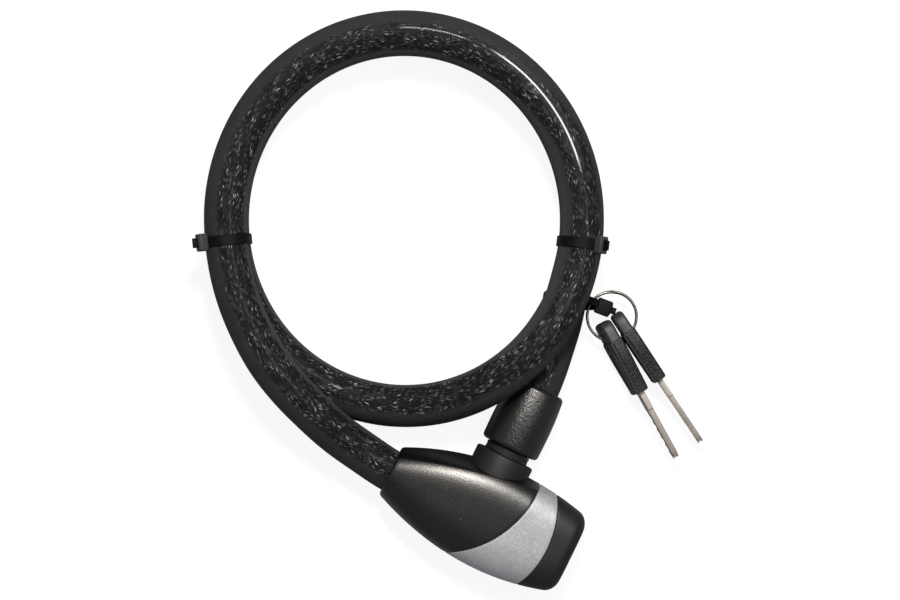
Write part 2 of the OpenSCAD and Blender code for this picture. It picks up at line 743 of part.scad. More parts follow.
// Outline of the grip's broad face, from the ring end at the origin
module grip_face() {
    hull() {
        for (s = [-1, 1]) {
            translate([4.5, s * (grip_h / 2 - 5)]) circle(r = 4.5, $fn = 32);
            translate([slot_at + 8, s * (grip_h / 2 - 5)]) circle(r = 5, $fn = 32);
            translate([grip_l - 2, s * (blade_h / 2 + 1)]) circle(r = 2, $fn = 32);
        }
    }
}

module key_grip() {
    end_t = grip_t - 1;
    difference() {
        intersection() {
            rotate([90, 0, 0]) translate([0, 0, -grip_t]) linear_extrude(2 * grip_t) grip_face();
            translate([0, 0, -grip_h]) linear_extrude(2 * grip_h) polygon([
                [0, -end_t / 2 + 1.4], [1.4, -end_t / 2], [slot_at, -end_t / 2], [slot_at + 2, -grip_t / 2],
                [grip_l - 1, -grip_t / 2], [grip_l, -grip_t / 2 + 1], [grip_l, grip_t / 2 - 1],
                [grip_l - 1, grip_t / 2], [slot_at + 2, grip_t / 2], [slot_at, end_t / 2],
                [1.4, end_t / 2], [0, end_t / 2 - 1.4]]);
        }
        translate([slot_at - slot_l / 2, -grip_t, -slot_h / 2]) cube([slot_l, 2 * grip_t, slot_h]);
        translate([grip_l - tang_l - seat, -blade_t / 2 - fit, -blade_h / 2 - fit])
            cube([tang_l + 1, blade_t + 2 * fit, blade_h + 2 * fit]);
    }
}

module key_blade() {
    shoulder = 9;
    step = 1.2;
    tip = 3;
    groove_d = 0.6;
    x0 = grip_l - tang_l;
    x1 = grip_l + blade_l;
    cuts = [1.1, 1.9, 0.9, 1.6, 1.3];
    difference() {
        rotate([90, 0, 0]) translate([0, 0, -blade_t / 2]) linear_extrude(blade_t) difference() {
            polygon([
                [x0, -blade_h / 2], [grip_l + shoulder, -blade_h / 2], [grip_l + shoulder, -blade_h / 2 + step],
                [x1 - tip, -blade_h / 2 + step], [x1, -1], [x1, 1], [x1 - tip, blade_h / 2 - step],
                [grip_l + shoulder, blade_h / 2 - step], [grip_l + shoulder, blade_h / 2], [x0, blade_h / 2]]);
            for (i = [0:len(cuts) - 1]) let (cx = x1 - tip - 2.4 - i * 4)
                polygon([[cx - 1.9, blade_h / 2 - step + 0.1], [cx - 0.7, blade_h / 2 - step - cuts[i]],
                    [cx + 0.7, blade_h / 2 - step - cuts[i]], [cx + 1.9, blade_h / 2 - step + 0.1]]);
        }
        for (s = [-1, 1])
            translate([grip_l + 2, s * blade_t / 2 - groove_d / 2, -1.6 * s - 0.6])
                cube([blade_l, groove_d, 1.2]);
    }
}

module key_a_blade() { color([0.72, 0.68, 0.62]) place_key(key_a_at, key_a_a) key_blade(); }
module key_a_grip() { color([0.08, 0.08, 0.085]) place_key(key_a_at, key_a_a) key_grip(); }
module key_b_blade() { color([0.72, 0.68, 0.62]) place_key(key_b_at, key_b_a) key_blade(); }
module key_b_grip() { color([0.08, 0.08, 0.085]) place_key(key_b_at, key_b_a) key_grip(); }

main_cover();
silver_band();
end_cap();
socket_collar();
core_block();
cable_ferrule();
ferrule_pin();
head_strand();
barrel();
barrel_pin();
cylinder_plug();
wafers();
crank();
retaining_clip();
latch_plate();
plug_pin();
plug_gasket();
plug_strand();
plug_boot();
cable_lead();
cable_coil();
tie_left();
tie_right();
key_tie();
key_ring();
key_a_blade();
key_a_grip();
key_b_blade();
key_b_grip();
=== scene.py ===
# Coiled cable lock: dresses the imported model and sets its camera, lamps and floor.
from math import atan2, ceil, cos, hypot, pi, radians, sin, sqrt
import bpy
from mathutils import Matrix, Vector


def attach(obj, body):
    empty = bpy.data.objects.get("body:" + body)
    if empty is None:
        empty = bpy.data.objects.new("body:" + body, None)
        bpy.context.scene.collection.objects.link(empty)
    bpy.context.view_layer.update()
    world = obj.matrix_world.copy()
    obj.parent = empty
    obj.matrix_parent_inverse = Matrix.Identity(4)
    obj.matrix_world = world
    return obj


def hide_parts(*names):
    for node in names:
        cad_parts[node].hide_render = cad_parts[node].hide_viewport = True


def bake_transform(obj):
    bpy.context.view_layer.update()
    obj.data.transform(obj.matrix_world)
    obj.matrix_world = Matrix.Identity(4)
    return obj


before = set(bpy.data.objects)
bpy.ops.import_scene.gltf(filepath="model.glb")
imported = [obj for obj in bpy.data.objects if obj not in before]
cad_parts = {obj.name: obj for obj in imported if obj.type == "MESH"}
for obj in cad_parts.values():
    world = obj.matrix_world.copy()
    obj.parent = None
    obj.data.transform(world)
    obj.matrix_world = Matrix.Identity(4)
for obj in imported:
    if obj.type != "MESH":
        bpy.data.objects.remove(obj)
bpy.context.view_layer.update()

mm = 0.001


def clearSelection():
    bpy.ops.object.select_all(action="DESELECT")


def lerp(a, b, t):
    return a + (b - a) * t


def clamp(t):
    return min(1, max(0, t))


def ease(t):
    return t * t * (3 - 2 * t)


# The camera looks straight down, turned against the head's axis
view = {
    "over": (-0.0571, 0.0818),   # the point under its middle
    "height": 1.6,
    "width": 0.423,              # what it takes in, at the level of the cable
    "level": 0.026,
    "turn": 26, "sensor": 36,
}


def addCamera():
    x, y = view["over"]
    bpy.ops.object.camera_add(location=(x, y, view["height"]), rotation=(0, 0, radians(view["turn"])))
    camera = bpy.context.object
    camera.data.sensor_width = view["sensor"]
    camera.data.lens = view["sensor"] * (view["height"] - view["level"]) / view["width"]
    bpy.context.scene.camera = camera


clearSelection()
addCamera()
print("camera set")


# Shader maths: wraps a socket, so that an expression on it adds its nodes
class Wire:
    def __init__(self, tree, socket=None):
        self.tree = tree
        self.socket = socket

    # Any node: its type, its settings, which are set first, and the values or links of its sockets
    def node(self, kind, settings=None, sockets=None, out=0):
        made = self.tree.nodes.new(kind)
        for key, value in (settings or {}).items():
            setattr(made, key, value)
        for key, value in (sockets or {}).items():
            if isinstance(value, Wire):
                self.tree.links.new(value.socket, made.inputs[key])
            else:
                made.inputs[key].default_value = value
        return Wire(self.tree, made.outputs[out])

    def maths(self, operation, a, b=0.0):
        return self.node("ShaderNodeMath", {"operation": operation}, {0: a, 1: b})

    def __add__(self, other): return self.maths("ADD", self, other)
    def __radd__(self, other): return self.maths("ADD", other, self)
    def __sub__(self, other): return self.maths("SUBTRACT", self, other)
    def __rsub__(self, other): return self.maths("SUBTRACT", other, self)
    def __mul__(self, other): return self.maths("MULTIPLY", self, other)
    def __rmul__(self, other): return self.maths("MULTIPLY", other, self)
    def __truediv__(self, other): return self.maths("DIVIDE", self, other)
    def __pow__(self, other): return self.maths("POWER", self, other)

    def wave(self):
        return self.maths("SINE", self * (2 * pi)) * 0.5 + 0.5

    # 0 below low, 1 above high, smooth between
    def step(self, low, high):
        return self.node("ShaderNodeMapRange", {"interpolation_type": "SMOOTHSTEP"},
                         {"Value": self, "From Min": low, "From Max": high})

    # 1 between two such steps
    def band(self, low, lowEnd, high, highEnd):
        return self.step(low, lowEnd) * (1.0 - self.step(high, highEnd))

    def axes(self):
        split = self.tree.nodes.new("ShaderNodeSeparateXYZ")
        self.tree.links.new(self.socket, split.inputs[0])
        return [Wire(self.tree, split.outputs[k]) for k in range(3)]

    def vector(self, x, y, z):
        return self.node("ShaderNodeCombineXYZ", None, {0: x, 1: y, 2: z})

    def objectPlace(self):
        return self.node("ShaderNodeTexCoord", out=3)

    def unwrapped(self):
        return self.node("ShaderNodeUVMap")

    def mapped(self, place, turn, scale=(1, 1, 1)):
        return self.node("ShaderNodeMapping", None,
                         {"Vector": place, "Rotation": (0, 0, radians(turn)), "Scale": scale})

    def noise(self, place, scale, detail=2.0, rough=0.5):
        return self.node("ShaderNodeTexNoise", None,
                         {"Vector": place, "Scale": scale, "Detail": detail, "Roughness": rough})

    # out 0 is the distance from a cell's centre, out 1 a random colour for the cell
    def cells(self, place, scale, out=0):
        return self.node("ShaderNodeTexVoronoi", None, {"Vector": place, "Scale": scale}, out)

    def mix(self, amount, a, b):
        made = self.tree.nodes.new("ShaderNodeMix")
        made.data_type = "RGBA"
        for slot, value in ((made.inputs[0], amount), (made.inputs[6], a), (made.inputs[7], b)):
            if isinstance(value, Wire):
                self.tree.links.new(value.socket, slot)
            else:
                slot.default_value = value if isinstance(value, (int, float)) else (*value, 1)
        return Wire(self.tree, made.outputs[2])

    def bump(self, height, distance, strength):
        return self.node("ShaderNodeBump", None,
                         {"Height": height, "Distance": distance, "Strength": strength})


def newFinish(name, build, **constants):
    # build returns the sockets that vary; constants are set on the shader's own sockets
    finish = bpy.data.materials.new(name)
    finish.use_nodes = True
    tree = finish.node_tree
    shader = tree.nodes["Principled BSDF"]
    for key, value in constants.items():
        shader.inputs[key.replace("_", " ")].default_value = value
    for key, value in build(Wire(tree)).items():
        tree.links.new(value.socket, shader.inputs[key])
    return finish


# The cable's sheath. Its map runs in metres along the cable and in turns round it, from the bottom
sheathLook = {
    "girth": 0.0628, "strands": 7, "lay": 0.11, "wander": 0.0008, "wanderScale": (300, 9),
    # lean in degrees, length and width in metres, and a seed for each layer of painted glints: short light
    # dashes painted into the colour as highlights on the wires
    "dashes": [(13, 0.0034, 0.00066, 1.3), (-20, 0.0028, 0.0006, 5.1)],
    # a dash's edge, the chances that make it a bright or a faint painted glint, and the noise patches where
    # bright painted glints show
    "dashEdge": (0.47, 0.25), "bright": (0.85, 1.0), "pale": (0.15, 0.85),
    "patchScale": (160, 14), "patch": (0.36, 0.6),
    # where the sheath shows no rope, and how far the rope shifts where it crosses over
    "plain": [(0.15, 0.20, 0.42, 0.475), (0.65, 0.695, 0.80, 0.85)], "plainShare": 0.94,
    "crossing": 0.09, "crossAt": (0.36, 0.40, 0.48, 0.53), "weave": 0.05, "weaveScale": (60, 3),
    "skinDark": (0.023, 0.023, 0.027), "skinPale": (0.043, 0.043, 0.051),
    # a paler skin over the coil's inner side: a painted sheen
    "skinInsideSheen": (0.056, 0.057, 0.066), "insideFrom": (0.58, 0.68), "hazeScale": (45, 9),
    # the rope's own dark, and the colours of its faint and bright painted glints
    "ropeDark": (0.010, 0.010, 0.011), "ropeFaintGlint": (0.085, 0.086, 0.094), "paintedGlint": (0.38, 0.39, 0.415),
    # the glossy stretch: its middle, its reach, and its ridge round the cable
    "glossAt": (-0.0595, 0.1795), "glossReach": (0.026, 0.037), "ridge": (0.41, 0.44, 0.50, 0.53),
    "coat": (0.02, 0.98), "rough": (0.46, 0.14), "bump": (0.0005, 0.6),
    "valleyShade": 0.7, "glintHigh": 0.2,  # how much the painted glints dim in the valleys between strands, a painted shade, and how far the faint glints stand out
}


def sheath(w):
    # smoky clear vinyl over a twisted rope: short painted glints along its wires, highlights painted into the
    # colour, and plain dark sheath beside them
    look = sheathLook
    along, around, _ = w.unwrapped().axes()

    def cableNoise(scale, seed, detail=2.0, rough=0.5):
        return w.noise(w.vector(along * scale[0], around * scale[1], seed), 1.0, detail, rough)

    about = around * look["girth"]
    crown = (around * look["strands"] + along * (look["strands"] / look["lay"])).wave()
    lit, faintGlints = None, None
    # painted highlights: each layer of dashes gives bright and faint glints painted into the colour
    for lean, long, wide, seed in look["dashes"]:
        c, s = cos(radians(lean)), sin(radians(lean))
        wandered = about + (cableNoise(look["wanderScale"], seed, 1.0) - 0.5) * look["wander"]
        place = w.vector((along * c + wandered * s) / long, (wandered * c - along * s) / wide, seed)
        chance = w.cells(place, 1.0, 1).axes()[0]
        dash = w.cells(place, 1.0).step(*look["dashEdge"])
        bright = dash * chance.step(*look["bright"])
        pale = dash * chance.step(*look["pale"])
        lit = bright if lit is None else w.maths("MAXIMUM", lit, bright)
        faintGlints = pale if faintGlints is None else w.maths("MAXIMUM", faintGlints, pale)
    patch = cableNoise(look["patchScale"], 3.7).step(*look["patch"])
    # the rope lies nearer the inside of the coil, and crosses over for a stretch
    crossed = along.band(*look["crossAt"])
    weave = cableNoise(look["weaveScale"], 8.2) - 0.5
    across = around + crossed * look["crossing"] + weave * look["weave"]
    plain = w.maths("MAXIMUM", *(across.band(*edges) for edges in look["plain"]))
    clear = 1.0 - plain * look["plainShare"]
    haze = cableNoise(look["hazeScale"], 0.0, 4.0, 0.6)
    # the skin, paler over the coil's inner side as a painted sheen
    skin = w.mix(around.step(*look["insideFrom"]), w.mix(haze, look["skinDark"], look["skinPale"]),
                 look["skinInsideSheen"])
    # painted shade: the faint painted glints dim in the valleys between the strands' crowns
    strandShade = crown * look["valleyShade"] + (1 - look["valleyShade"])
    rope = w.mix(faintGlints * strandShade, look["ropeDark"], look["ropeFaintGlint"])
    # the bright painted glints, shown in patches, over the rope
    rope = w.mix(lit * patch, rope, look["paintedGlint"])
    x, y, _ = w.objectPlace().axes()
    away = ((x - look["glossAt"][0]) ** 2.0 + (y - look["glossAt"][1]) ** 2.0) ** 0.5
    gloss = (1.0 - away.step(*look["glossReach"])) * around.band(*look["ridge"])
    rough, byHaze = look["rough"]
    coat, byGloss = look["coat"]
    return {"Base Color": w.mix(clear, skin, rope),
            "Roughness": rough + haze * byHaze,
            "Coat Weight": coat + gloss * byGloss,
            "Normal": w.bump(crown * clear + faintGlints * look["glintHigh"], *look["bump"])}


# Finishes made of two noises. A noise is its scale, detail and roughness. The coarse cloud tints, and
# so does the fine grain by its tone; grain is drawn out into streaks where it has a turn and a stretch.
# Rough is the roughness and what grain and cloud add to it, and bump its height and strength.
grainedLooks = {
    "capBlack": {
        "name": "capBlack", "grain": (2200, 3), "cloud": (70, 3), "rough": (0.44, 0.12, 0),
        "bump": (0.00004, 0.5), "dark": (0.009, 0.009, 0.010), "pale": (0.015, 0.015, 0.016),
        "shader": {"Specular_IOR_Level": 0.4}},
    "boot": {
        "name": "bootBlack", "grain": (950, 4, 0.65), "cloud": (80, 2), "rough": (0.23, 0.05, 0.05),
        "bump": (0.00027, 0.7), "dark": (0.004, 0.004, 0.005), "pale": (0.009, 0.009, 0.011),
        "shader": {"Specular_IOR_Level": 0.9}},
    "nylon": {
        "name": "tieNylon", "grain": (1400, 2), "cloud": (240, 3), "rough": (0.50, 0, 0.15),
        "bump": (0.00004, 0.5), "dark": (0.002, 0.002, 0.0025), "pale": (0.005, 0.005, 0.006),
        "shader": {"Specular_IOR_Level": 0.15}},
    "tieGrey": {
        "name": "tieHeadNylon", "grain": (1, 3), "turn": 0, "stretch": (1500, 350, 900), "tone": 1,
        "rough": (0.40, 0.15, 0), "bump": (0.00004, 0.5),
        "dark": (0.026, 0.026, 0.028), "pale": (0.060, 0.060, 0.064), "shader": {"Specular_IOR_Level": 0.35}},
    "gripGrey": {
        "name": "gripGrey", "grain": (1, 4, 0.7), "turn": 33, "stretch": (420, 1500, 900), "tone": 1,
        "rough": (0.40, 0.15, 0), "bump": (0.00006, 0.6),
        "dark": (0.007, 0.008, 0.010), "pale": (0.062, 0.065, 0.073), "shader": {"Specular_IOR_Level": 0.5}},
    "wire": {
        "name": "nickelWire", "grain": (3200, 3), "cloud": (160, 2), "rough": (0.27, 0.05, 0),
        "bump": (0.000004, 0.3), "dark": (0.07, 0.067, 0.060), "pale": (0.25, 0.235, 0.21),
        "shader": {"Metallic": 1}},
    "keySteel": {
        "name": "keySteel", "grain": (1, 4, 0.6), "turn": 33, "stretch": (1900, 300, 420), "tone": 0.5,
        "cloud": (190, 3), "rough": (0.42, 0.15, 0), "bump": (0.00006, 0.6),
        "dark": (0.22, 0.205, 0.18), "pale": (0.76, 0.705, 0.64), "shader": {"Metallic": 0.6}},
    "steel": {
        "name": "machinedSteel", "grain": (1300, 4, 0.6), "cloud": (90, 3), "rough": (0.24, 0.2, 0),
        "bump": (0.00002, 0.5), "dark": (0.46, 0.46, 0.47), "pale": (0.62, 0.62, 0.63),
        "shader": {"Metallic": 1}},
    "dieCast": {
        "name": "dieCastZinc", "grain": (1600, 4, 0.65), "cloud": (110, 3), "rough": (0.42, 0.25, 0),
        "bump": (0.00008, 0.7), "dark": (0.36, 0.36, 0.37), "pale": (0.50, 0.50, 0.51),
        "shader": {"Metallic": 1}},
    "nickel": {
        "name": "nickelPlate", "grain": (1500, 4, 0.6), "cloud": (100, 3), "rough": (0.20, 0.16, 0),
        "bump": (0.00002, 0.5), "dark": (0.58, 0.55, 0.50), "pale": (0.72, 0.69, 0.64),
        "shader": {"Metallic": 1}},
    "brass": {
        "name": "machinedBrass", "grain": (1500, 4, 0.6), "cloud": (120, 3), "rough": (0.25, 0.2, 0),
        "bump": (0.00002, 0.5), "dark": (0.62, 0.47, 0.19), "pale": (0.78, 0.62, 0.30),
        "shader": {"Metallic": 1}},
    "seal": {
        "name": "sealRubber", "grain": (1200, 3), "tone": 1, "rough": (0.6, 0.2, 0),
        "bump": (0.00006, 0.6), "dark": (0.008, 0.008, 0.008), "pale": (0.018, 0.018, 0.018), "shader": {}},
}


def grained(look):
    def build(w):
        place = w.objectPlace()
        drawn = w.mapped(place, look["turn"], look["stretch"]) if "stretch" in look else place
        grain = w.noise(drawn, *look["grain"])
        cloud = w.noise(place, *look["cloud"]) if "cloud" in look else grain
        tone = look.get("tone", 0)
        rough, byGrain, byCloud = look["rough"]
        return {"Base Color": w.mix(cloud * (1 - tone) + grain * tone, look["dark"], look["pale"]),
                "Roughness": rough + cloud * byCloud + grain * byGrain,
                "Normal": w.bump(grain, *look["bump"])}
    return build


satinLook = {"grain": (1250, 3, 0.65), "cloud": (90, 3), "pits": 620, "pitEdge": (0.16, 0.08),
             "pitPatch": 210, "pitPatchEdge": (0.5, 0.6), "pitDeep": 0.7,
             "dark": (0.002, 0.002, 0.0025), "pale": (0.005, 0.005, 0.0055),
             "rough": (0.26, 0.04, 0.04), "bump": (0.00009, 0.6)}
flakeLook = {"flakes": 1900, "cloud": (130, 4), "flakeShare": 0.6, "metal": (0.30, 0.25),
             "dark": (0.34, 0.35, 0.375), "pale": (0.59, 0.61, 0.655),
             "rough": (0.50, 0.10), "bump": (0.00004, 0.6)}
# light specks at the centres of some random cells on the textured grip are painted glints
gripLook = {"cells": 1250, "grain": (2400, 3), "grainHigh": 0.5, "glintSpeckEdge": (0.40, 0.2),
            "glintSpeckFrom": (0.72, 0.95), "dark": (0.006, 0.006, 0.007), "glintSpeck": (0.11, 0.11, 0.115),
            "rough": (0.42, 0.2), "bump": (0.00022, 0.8)}
# bright pin below the collar's edge, dark flange and shank above it
pinLook = {"turned": (1300, 4, 0.6), "edge": (0.0271, 0.0272),
           "bright": (0.58, 0.58, 0.59), "dark": (0.016, 0.016, 0.017),
           "rough": (0.22, 0.18), "bump": (0.00002, 0.5)}
ropeLook = {"turn": 40, "twist": 1100, "dark": (0.12, 0.12, 0.125), "pale": (0.55, 0.55, 0.56),
            "rough": (0.28, 0.1), "bump": (0.0003, 0.9)}


def satinBlack(w):
    look, place = satinLook, w.objectPlace()
    grain, cloud = w.noise(place, *look["grain"]), w.noise(place, *look["cloud"])
    pit = (w.cells(place, look["pits"]).step(*look["pitEdge"])
           * w.noise(place, look["pitPatch"]).step(*look["pitPatchEdge"]))
    rough, byGrain, byCloud = look["rough"]
    return {"Base Color": w.mix(cloud, look["dark"], look["pale"]),
            "Roughness": rough + cloud * byCloud + grain * byGrain,
            "Normal": w.bump(grain - pit * look["pitDeep"], *look["bump"])}


def silverFlake(w):
    look, place = flakeLook, w.objectPlace()
    bright = w.cells(place, look["flakes"], 1).axes()[0]
    cloud = w.noise(place, *look["cloud"])
    shade = bright * look["flakeShare"] + cloud * (1 - look["flakeShare"])
    rough, byFlake = look["rough"]
    metal, metalByFlake = look["metal"]
    return {"Base Color": w.mix(shade, look["dark"], look["pale"]),
            "Roughness": rough + bright * byFlake,
            "Metallic": metal + bright * metalByFlake,
            "Normal": w.bump(bright, *look["bump"])}


def gripBlack(w):
    look, place = gripLook, w.objectPlace()
    cell = w.cells(place, look["cells"])
    chance = w.cells(place, look["cells"], 1).axes()[0]
    grain = w.noise(place, *look["grain"])
    # painted glints: light specks at the centres of some cells
    glintSpeck = cell.step(*look["glintSpeckEdge"]) * chance.step(*look["glintSpeckFrom"])
    rough, byGrain = look["rough"]
    return {"Base Color": w.mix(glintSpeck, look["dark"], look["glintSpeck"]),
            "Roughness": rough + grain * byGrain,
            "Normal": w.bump(cell + grain * look["grainHigh"], *look["bump"])}


def pinSteel(w):
    look, place = pinLook, w.objectPlace()
    turned = w.noise(place, *look["turned"])
    dark = place.axes()[1].step(*look["edge"])
    rough, byTurned = look["rough"]
    return {"Base Color": w.mix(dark, look["bright"], look["dark"]),
            "Metallic": 1.0 - dark,
            "Roughness": rough + turned * byTurned,
            "Normal": w.bump(turned, *look["bump"])}


def ropeSteel(w):
    look = ropeLook
    x, _, z = w.mapped(w.objectPlace(), look["turn"]).axes()
    # the colour follows the twist: darker in the grooves between the wires, a painted shade, and paler on
    # their crowns
    twist = ((x + z) * look["twist"]).wave()
    rough, byTwist = look["rough"]
    return {"Base Color": w.mix(twist, look["dark"], look["pale"]),
            "Roughness": rough + twist * byTwist,
            "Normal": w.bump(twist, *look["bump"])}


finishes = {key: newFinish(look["name"], grained(look), **look["shader"])
            for key, look in grainedLooks.items()}
finishes.update({
    "sheath": newFinish("sheathVinyl", sheath, Coat_Roughness=0.04, Coat_IOR=2.0, Specular_IOR_Level=0.08),
    "satinBlack": newFinish("satinBlack", satinBlack, Specular_IOR_Level=0.85),
    "silver": newFinish("silverFlake", silverFlake, Coat_Weight=0.25, Coat_Roughness=0.25),
    "gripBlack": newFinish("gripBlack", gripBlack, Specular_IOR_Level=0.5),
    "pin": newFinish("pinSteel", pinSteel),
    "rope": newFinish("ropeSteel", ropeSteel, Metallic=1.0),
})
print("finishes made:", len(finishes))


# Helpers for shaping. They take sizes in millimetres, and Blender's own are in metres
weld = 0.000002                  # points closer than this, in metres, become one


def pick(*pieces):
    # selects only these pieces; the first one is active
    clearSelection()
    for piece in pieces:
        piece.select_set(True)
    bpy.context.view_layer.objects.active = pieces[0]


def inEditMode(work):
    bpy.ops.object.mode_set(mode="EDIT")
    bpy.ops.mesh.select_all(action="SELECT")
    work()
    bpy.ops.object.mode_set(mode="OBJECT")


def closeUp():
    bpy.ops.mesh.remove_doubles(threshold=weld)
    bpy.ops.mesh.normals_make_consistent(inside=False)


def closeEnds():
    # one face over each open end
    bpy.ops.mesh.remove_doubles(threshold=weld)
    bpy.ops.mesh.select_all(action="DESELECT")
    bpy.ops.mesh.select_non_manifold(extend=False, use_wire=False, use_boundary=True,
                                     use_multi_face=False, use_non_contiguous=False, use_verts=False)
    bpy.ops.mesh.edge_face_add()
    bpy.ops.mesh.select_all(action="SELECT")
    bpy.ops.mesh.normals_make_consistent(inside=False)


def skinRows(name, rows, closeRows=False):
    # a sheet of rows of points, in millimetres, joined into itself where it closes
    rows = rows + rows[:1] if closeRows else rows
    rowCount, count = len(rows) - 1, len(rows[0])
    clearSelection()
    bpy.ops.mesh.primitive_grid_add(x_subdivisions=count, y_subdivisions=rowCount, size=1)
    piece = bpy.context.object
    piece.name = name
    for vertex in piece.data.vertices:
        column = round((vertex.co.x + 0.5) * count) % count
        row = round((vertex.co.y + 0.5) * rowCount)
        vertex.co = Vector(rows[row][column]) * mm
    return piece


def applyModifiers(piece):
    pick(piece)
    for modifier in list(piece.modifiers):
        bpy.ops.object.modifier_apply(modifier=modifier.name)


def smooth(piece, angle):
    pick(piece)
    bpy.ops.object.shade_smooth_by_angle(angle=radians(angle))


def cutWith(piece, cutter):
    cut = piece.modifiers.new("cut", "BOOLEAN")
    cut.operation = "DIFFERENCE"
    cut.solver = "EXACT"
    cut.object = cutter
    applyModifiers(piece)
    bpy.data.objects.remove(cutter)


def bevelEdges(piece, width, segments=2, angle=50):
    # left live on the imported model's own pieces, and applied on new ones
    bevel = piece.modifiers.new("bevel", "BEVEL")
    bevel.width = width * mm
    bevel.segments = segments
    bevel.limit_method = "ANGLE"
    bevel.angle_limit = radians(angle)


def softenEdges(piece, width):
    bevelEdges(piece, width)
    piece.modifiers["bevel"].harden_normals = False
    applyModifiers(piece)


def roundedBox(size, at, width, segments=4):
    clearSelection()
    bpy.ops.mesh.primitive_cube_add(size=1, location=Vector(at) * mm, scale=Vector(size) * mm)
    box = bpy.context.object
    bpy.ops.object.transform_apply(location=True, rotation=False, scale=True)
    inEditMode(lambda: bpy.ops.mesh.bevel(offset=width * mm, segments=segments, affect="EDGES"))
    return box


def joined(name, parts):
    pick(*parts)
    bpy.ops.object.join()
    parts[0].name = name
    return parts[0]


def placeAt(at, turn=0, axis="Z"):
    # a place in millimetres and a turn in degrees
    return Matrix.Translation(Vector(at) * mm) @ Matrix.Rotation(radians(turn), 4, axis)


def settle(piece, place):
    # puts a shape made round the origin into its place and leaves the object at the origin
    pick(piece)
    piece.matrix_world = place
    bpy.ops.object.transform_apply(location=True, rotation=True, scale=True)


def finishPiece(piece, body, look, replaced):
    if look:
        piece.data.materials.clear()
        piece.data.materials.append(finishes[look])
    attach(piece, body)
    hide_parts(replaced)


# The cable, in two pieces: the lead, and the coil, which goes with the plug
cable = {
    "diameter": 20, "sides": 40, "spacing": 3,
    "lead": [
        (-31.5, -3, 17), (-47, -3, 17), (-62, -1, 18.5), (-78, 2, 23), (-93, 6.5, 27.5),
        (-106.5, 11.5, 31), (-119, 17.5, 32), (-135, 28.5, 32), (-149.5, 42, 32)],
    "toPlug": [
        (-7.8, 106, 12), (-5.2, 95, 12.9), (-3.2, 82, 14.9), (-2, 73, 16.2), (-1.2, 62, 17),
        (-1.2, 52, 17), (-1.2, 42, 17)],
}
coil = {
    "centre": (-92.6, 105.3), "turn": 26, "radius": 85.8, "oval": 2.1, "top": 1.1,
    "from": 186, "step": 360 / 28, "steps": 44,
    "upper": 32, "lower": 11.5, "dropFrom": -42, "dropTo": -115,
    "hump": 4.5, "humpAt": -48, "humpHalf": 41,
}


def coilRadius(a):
    return coil["radius"] - coil["oval"] * cos(radians(2 * a)) + coil["top"] * sin(radians(a))


def coilPoint(a):
    t = clamp((a - coil["dropFrom"]) / (coil["dropTo"] - coil["dropFrom"]))
    z = lerp(coil["upper"], coil["lower"], ease(t))
    off = abs(a - coil["humpAt"]) / coil["humpHalf"]
    if off < 1:
        z += coil["hump"] * cos(off * pi / 2) ** 2
    (x, y), reach, turned = coil["centre"], coilRadius(a), radians(a + coil["turn"])
    return (x + reach * cos(turned), y + reach * sin(turned), z)


def smoothRoute(points):
    # a smooth curve through the points, sampled finely, and the number of samples up to each point
    p = [Vector(q) for q in points]
    gap = [(p[i + 1] - p[i]).length for i in range(len(p) - 1)]

    def heading(i):
        if i == 0:
            return (p[1] - p[0]) / gap[0]
        if i == len(p) - 1:
            return (p[i] - p[i - 1]) / gap[i - 1]
        back, ahead = (p[i] - p[i - 1]) / gap[i - 1], (p[i + 1] - p[i]) / gap[i]
        return (back * gap[i] + ahead * gap[i - 1]) / (gap[i] + gap[i - 1])

    samples, marks = [], []
    for i in range(len(p) - 1):
        marks.append(len(samples))
        steps = ceil(gap[i] / cable["spacing"])
        for k in range(steps):
            t = k / steps
            samples.append(p[i] * (2 * t**3 - 3 * t**2 + 1) + heading(i) * gap[i] * (t**3 - 2 * t**2 + t)
                           + p[i + 1] * (3 * t**2 - 2 * t**3) + heading(i + 1) * gap[i] * (t**3 - t**2))
    marks.append(len(samples))
    return samples + [p[-1]], marks


def makeTube(name, line, startLength):
    # a round tube along the line, with the distance along it and the turn round it as its UV map
    radius, sides = cable["diameter"] / 2, cable["sides"]
    turns = [2 * pi * k / sides for k in range(sides)]
    rows, reach = [], [startLength]
    for i, at in enumerate(line):
        ahead = (line[min(i + 1, len(line) - 1)] - line[max(i - 1, 0)]).normalized()
        side = ahead.cross(Vector((0, 0, 1))).normalized()
        up = side.cross(ahead)
        rows.append([at - side * (radius * sin(a)) - up * (radius * cos(a)) for a in turns])
        if i:
            reach.append(reach[-1] + (at - line[i - 1]).length * mm)
    tube = skinRows(name, rows)
    last = len(rows) - 1
    for loop in tube.data.uv_layers.active.data:
        u, v = loop.uv
        loop.uv = (reach[round(v * last)], u)
    inEditMode(closeEnds)
    smooth(tube, 50)
    return tube, [q * mm for q in line], reach[-1]


def makeCable():
    coilPoints = [coilPoint(coil["from"] - k * coil["step"]) for k in range(coil["steps"] + 1)]
    line, marks = smoothRoute(cable["lead"] + coilPoints + cable["toPlug"])
    split = marks[len(cable["lead"])]
    lead, leadPath, leadLength = makeTube("cableLead", line[:split + 1], 0)
    loop, loopPath, total = makeTube("cableCoil", line[split:], leadLength)
    finishPiece(loop, "cable_end", "sheath", "cable_coil")
    lead.data.materials.append(finishes["sheath"])
    tuple(leadPath[marks[1] + 2])
    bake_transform(lead)
    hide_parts("cable_lead")
    return loop, loopPath, total - leadLength


cableCoil, coilPath, coilLength = makeCable()
print("cable laid, coil of", round(coilLength, 3), "m")


